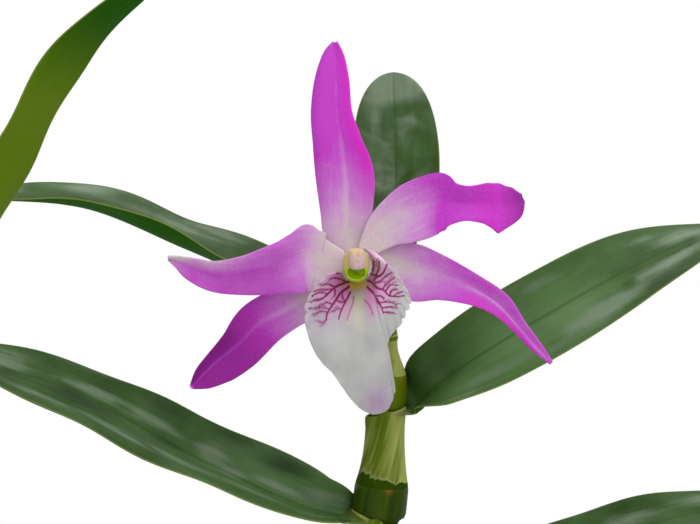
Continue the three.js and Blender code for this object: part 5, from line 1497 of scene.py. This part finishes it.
def studio_floor():
    """A thin round disc whose top is at height 0."""
    radius = STUDIO["floor_radius"] / MM
    outline = np.array([(0.5, -3.0), (radius, -3.0), (radius, 0.0), (0.5, 0.0)])
    points, quads = closed_skin(turned(evenly_along(outline, 80), 96))
    floor = meshed("studio_floor", points, quads)
    floor.data.materials.append(pale_card())


def soft_lamp(name, place, target, size, watts):
    """A square area lamp at a place, aimed at a target, both in metres."""
    lamp = bpy.data.lights.new(name, "AREA")
    lamp.size = size
    lamp.energy = watts
    holder = bpy.data.objects.new(name, lamp)
    bpy.context.scene.collection.objects.link(holder)
    aim = np.array(target) - np.array(place)
    holder.location = place
    holder.rotation_euler = (
        math.atan2(math.hypot(aim[0], aim[1]), -aim[2]), 0, math.atan2(-aim[0], aim[1]),
    )


def surround():
    """A white surround that is brighter behind the object, where a lit backdrop would stand, than
    ahead of it. Seen directly it is pure white."""
    world = bpy.data.worlds.new("white_surround")
    world.use_nodes = True
    tree = world.node_tree
    seen = node(tree, "LightPath").outputs["Is Camera Ray"]
    way = node(tree, "TexCoord").outputs["Generated"]
    back = node(tree, "SeparateXYZ", {"Vector": way}).outputs["Y"]
    power = node(tree, "MapRange", {"Value": back, "From Min": -0.3, "From Max": 0.7,
                                    "To Min": STUDIO["ahead"], "To Max": STUDIO["behind"]}).outputs[0]
    lights = node(tree, "Background", {"Color": "#ffffff", "Strength": power}).outputs[0]
    shown = node(tree, "Background", {"Color": "#ffffff", "Strength": 1.0}).outputs[0]
    both = node(tree, "MixShader", {0: seen, 1: lights, 2: shown}).outputs[0]
    tree.links.new(both, tree.nodes["World Output"].inputs["Surface"])
    bpy.context.scene.world = world
    bpy.context.scene.view_settings.view_transform = "Standard"


def camera():
    """The camera stands back from the flower along the view, at the distance that gives the
    flower's scale, and its lens maps that scale to the picture's width."""
    down = math.radians(CAMERA["down"])
    ahead = np.array([0, math.cos(down), -math.sin(down)])
    upward = np.array([0, math.sin(down), math.cos(down)])
    off_a, off_b = np.array(CAMERA["aim_off"]) * CAMERA["mm_a_pixel"]
    aim = np.array(BLOOM["centre"], float) + np.array([off_a, 0, 0]) + off_b * upward
    data = bpy.data.cameras.new("camera")
    data.sensor_width = CAMERA["film"]
    data.lens = CAMERA["film"] * CAMERA["distance"] / CAMERA["mm_a_pixel"] / CAMERA["picture_width"]
    data.clip_start = 0.01
    data.clip_end = 20
    eye = bpy.data.objects.new("camera", data)
    eye.location = (aim - CAMERA["distance"] * ahead) * MM
    eye.rotation_euler = (math.pi / 2 - down, 0, 0)
    bpy.context.scene.collection.objects.link(eye)
    bpy.context.scene.camera = eye


studio_floor()
surround()
soft_lamp("key_lamp", (0.5, -0.8, 0.9), (0, 0, 0.26), 0.8, 4.4)
soft_lamp("top_lamp", (0.1, -0.1, 1.2), (0, 0, 0.25), 1.0, 6.2)
soft_lamp("fill_lamp", (-0.9, -0.6, 0.5), (0, 0, 0.25), 0.8, 1.6)
camera()
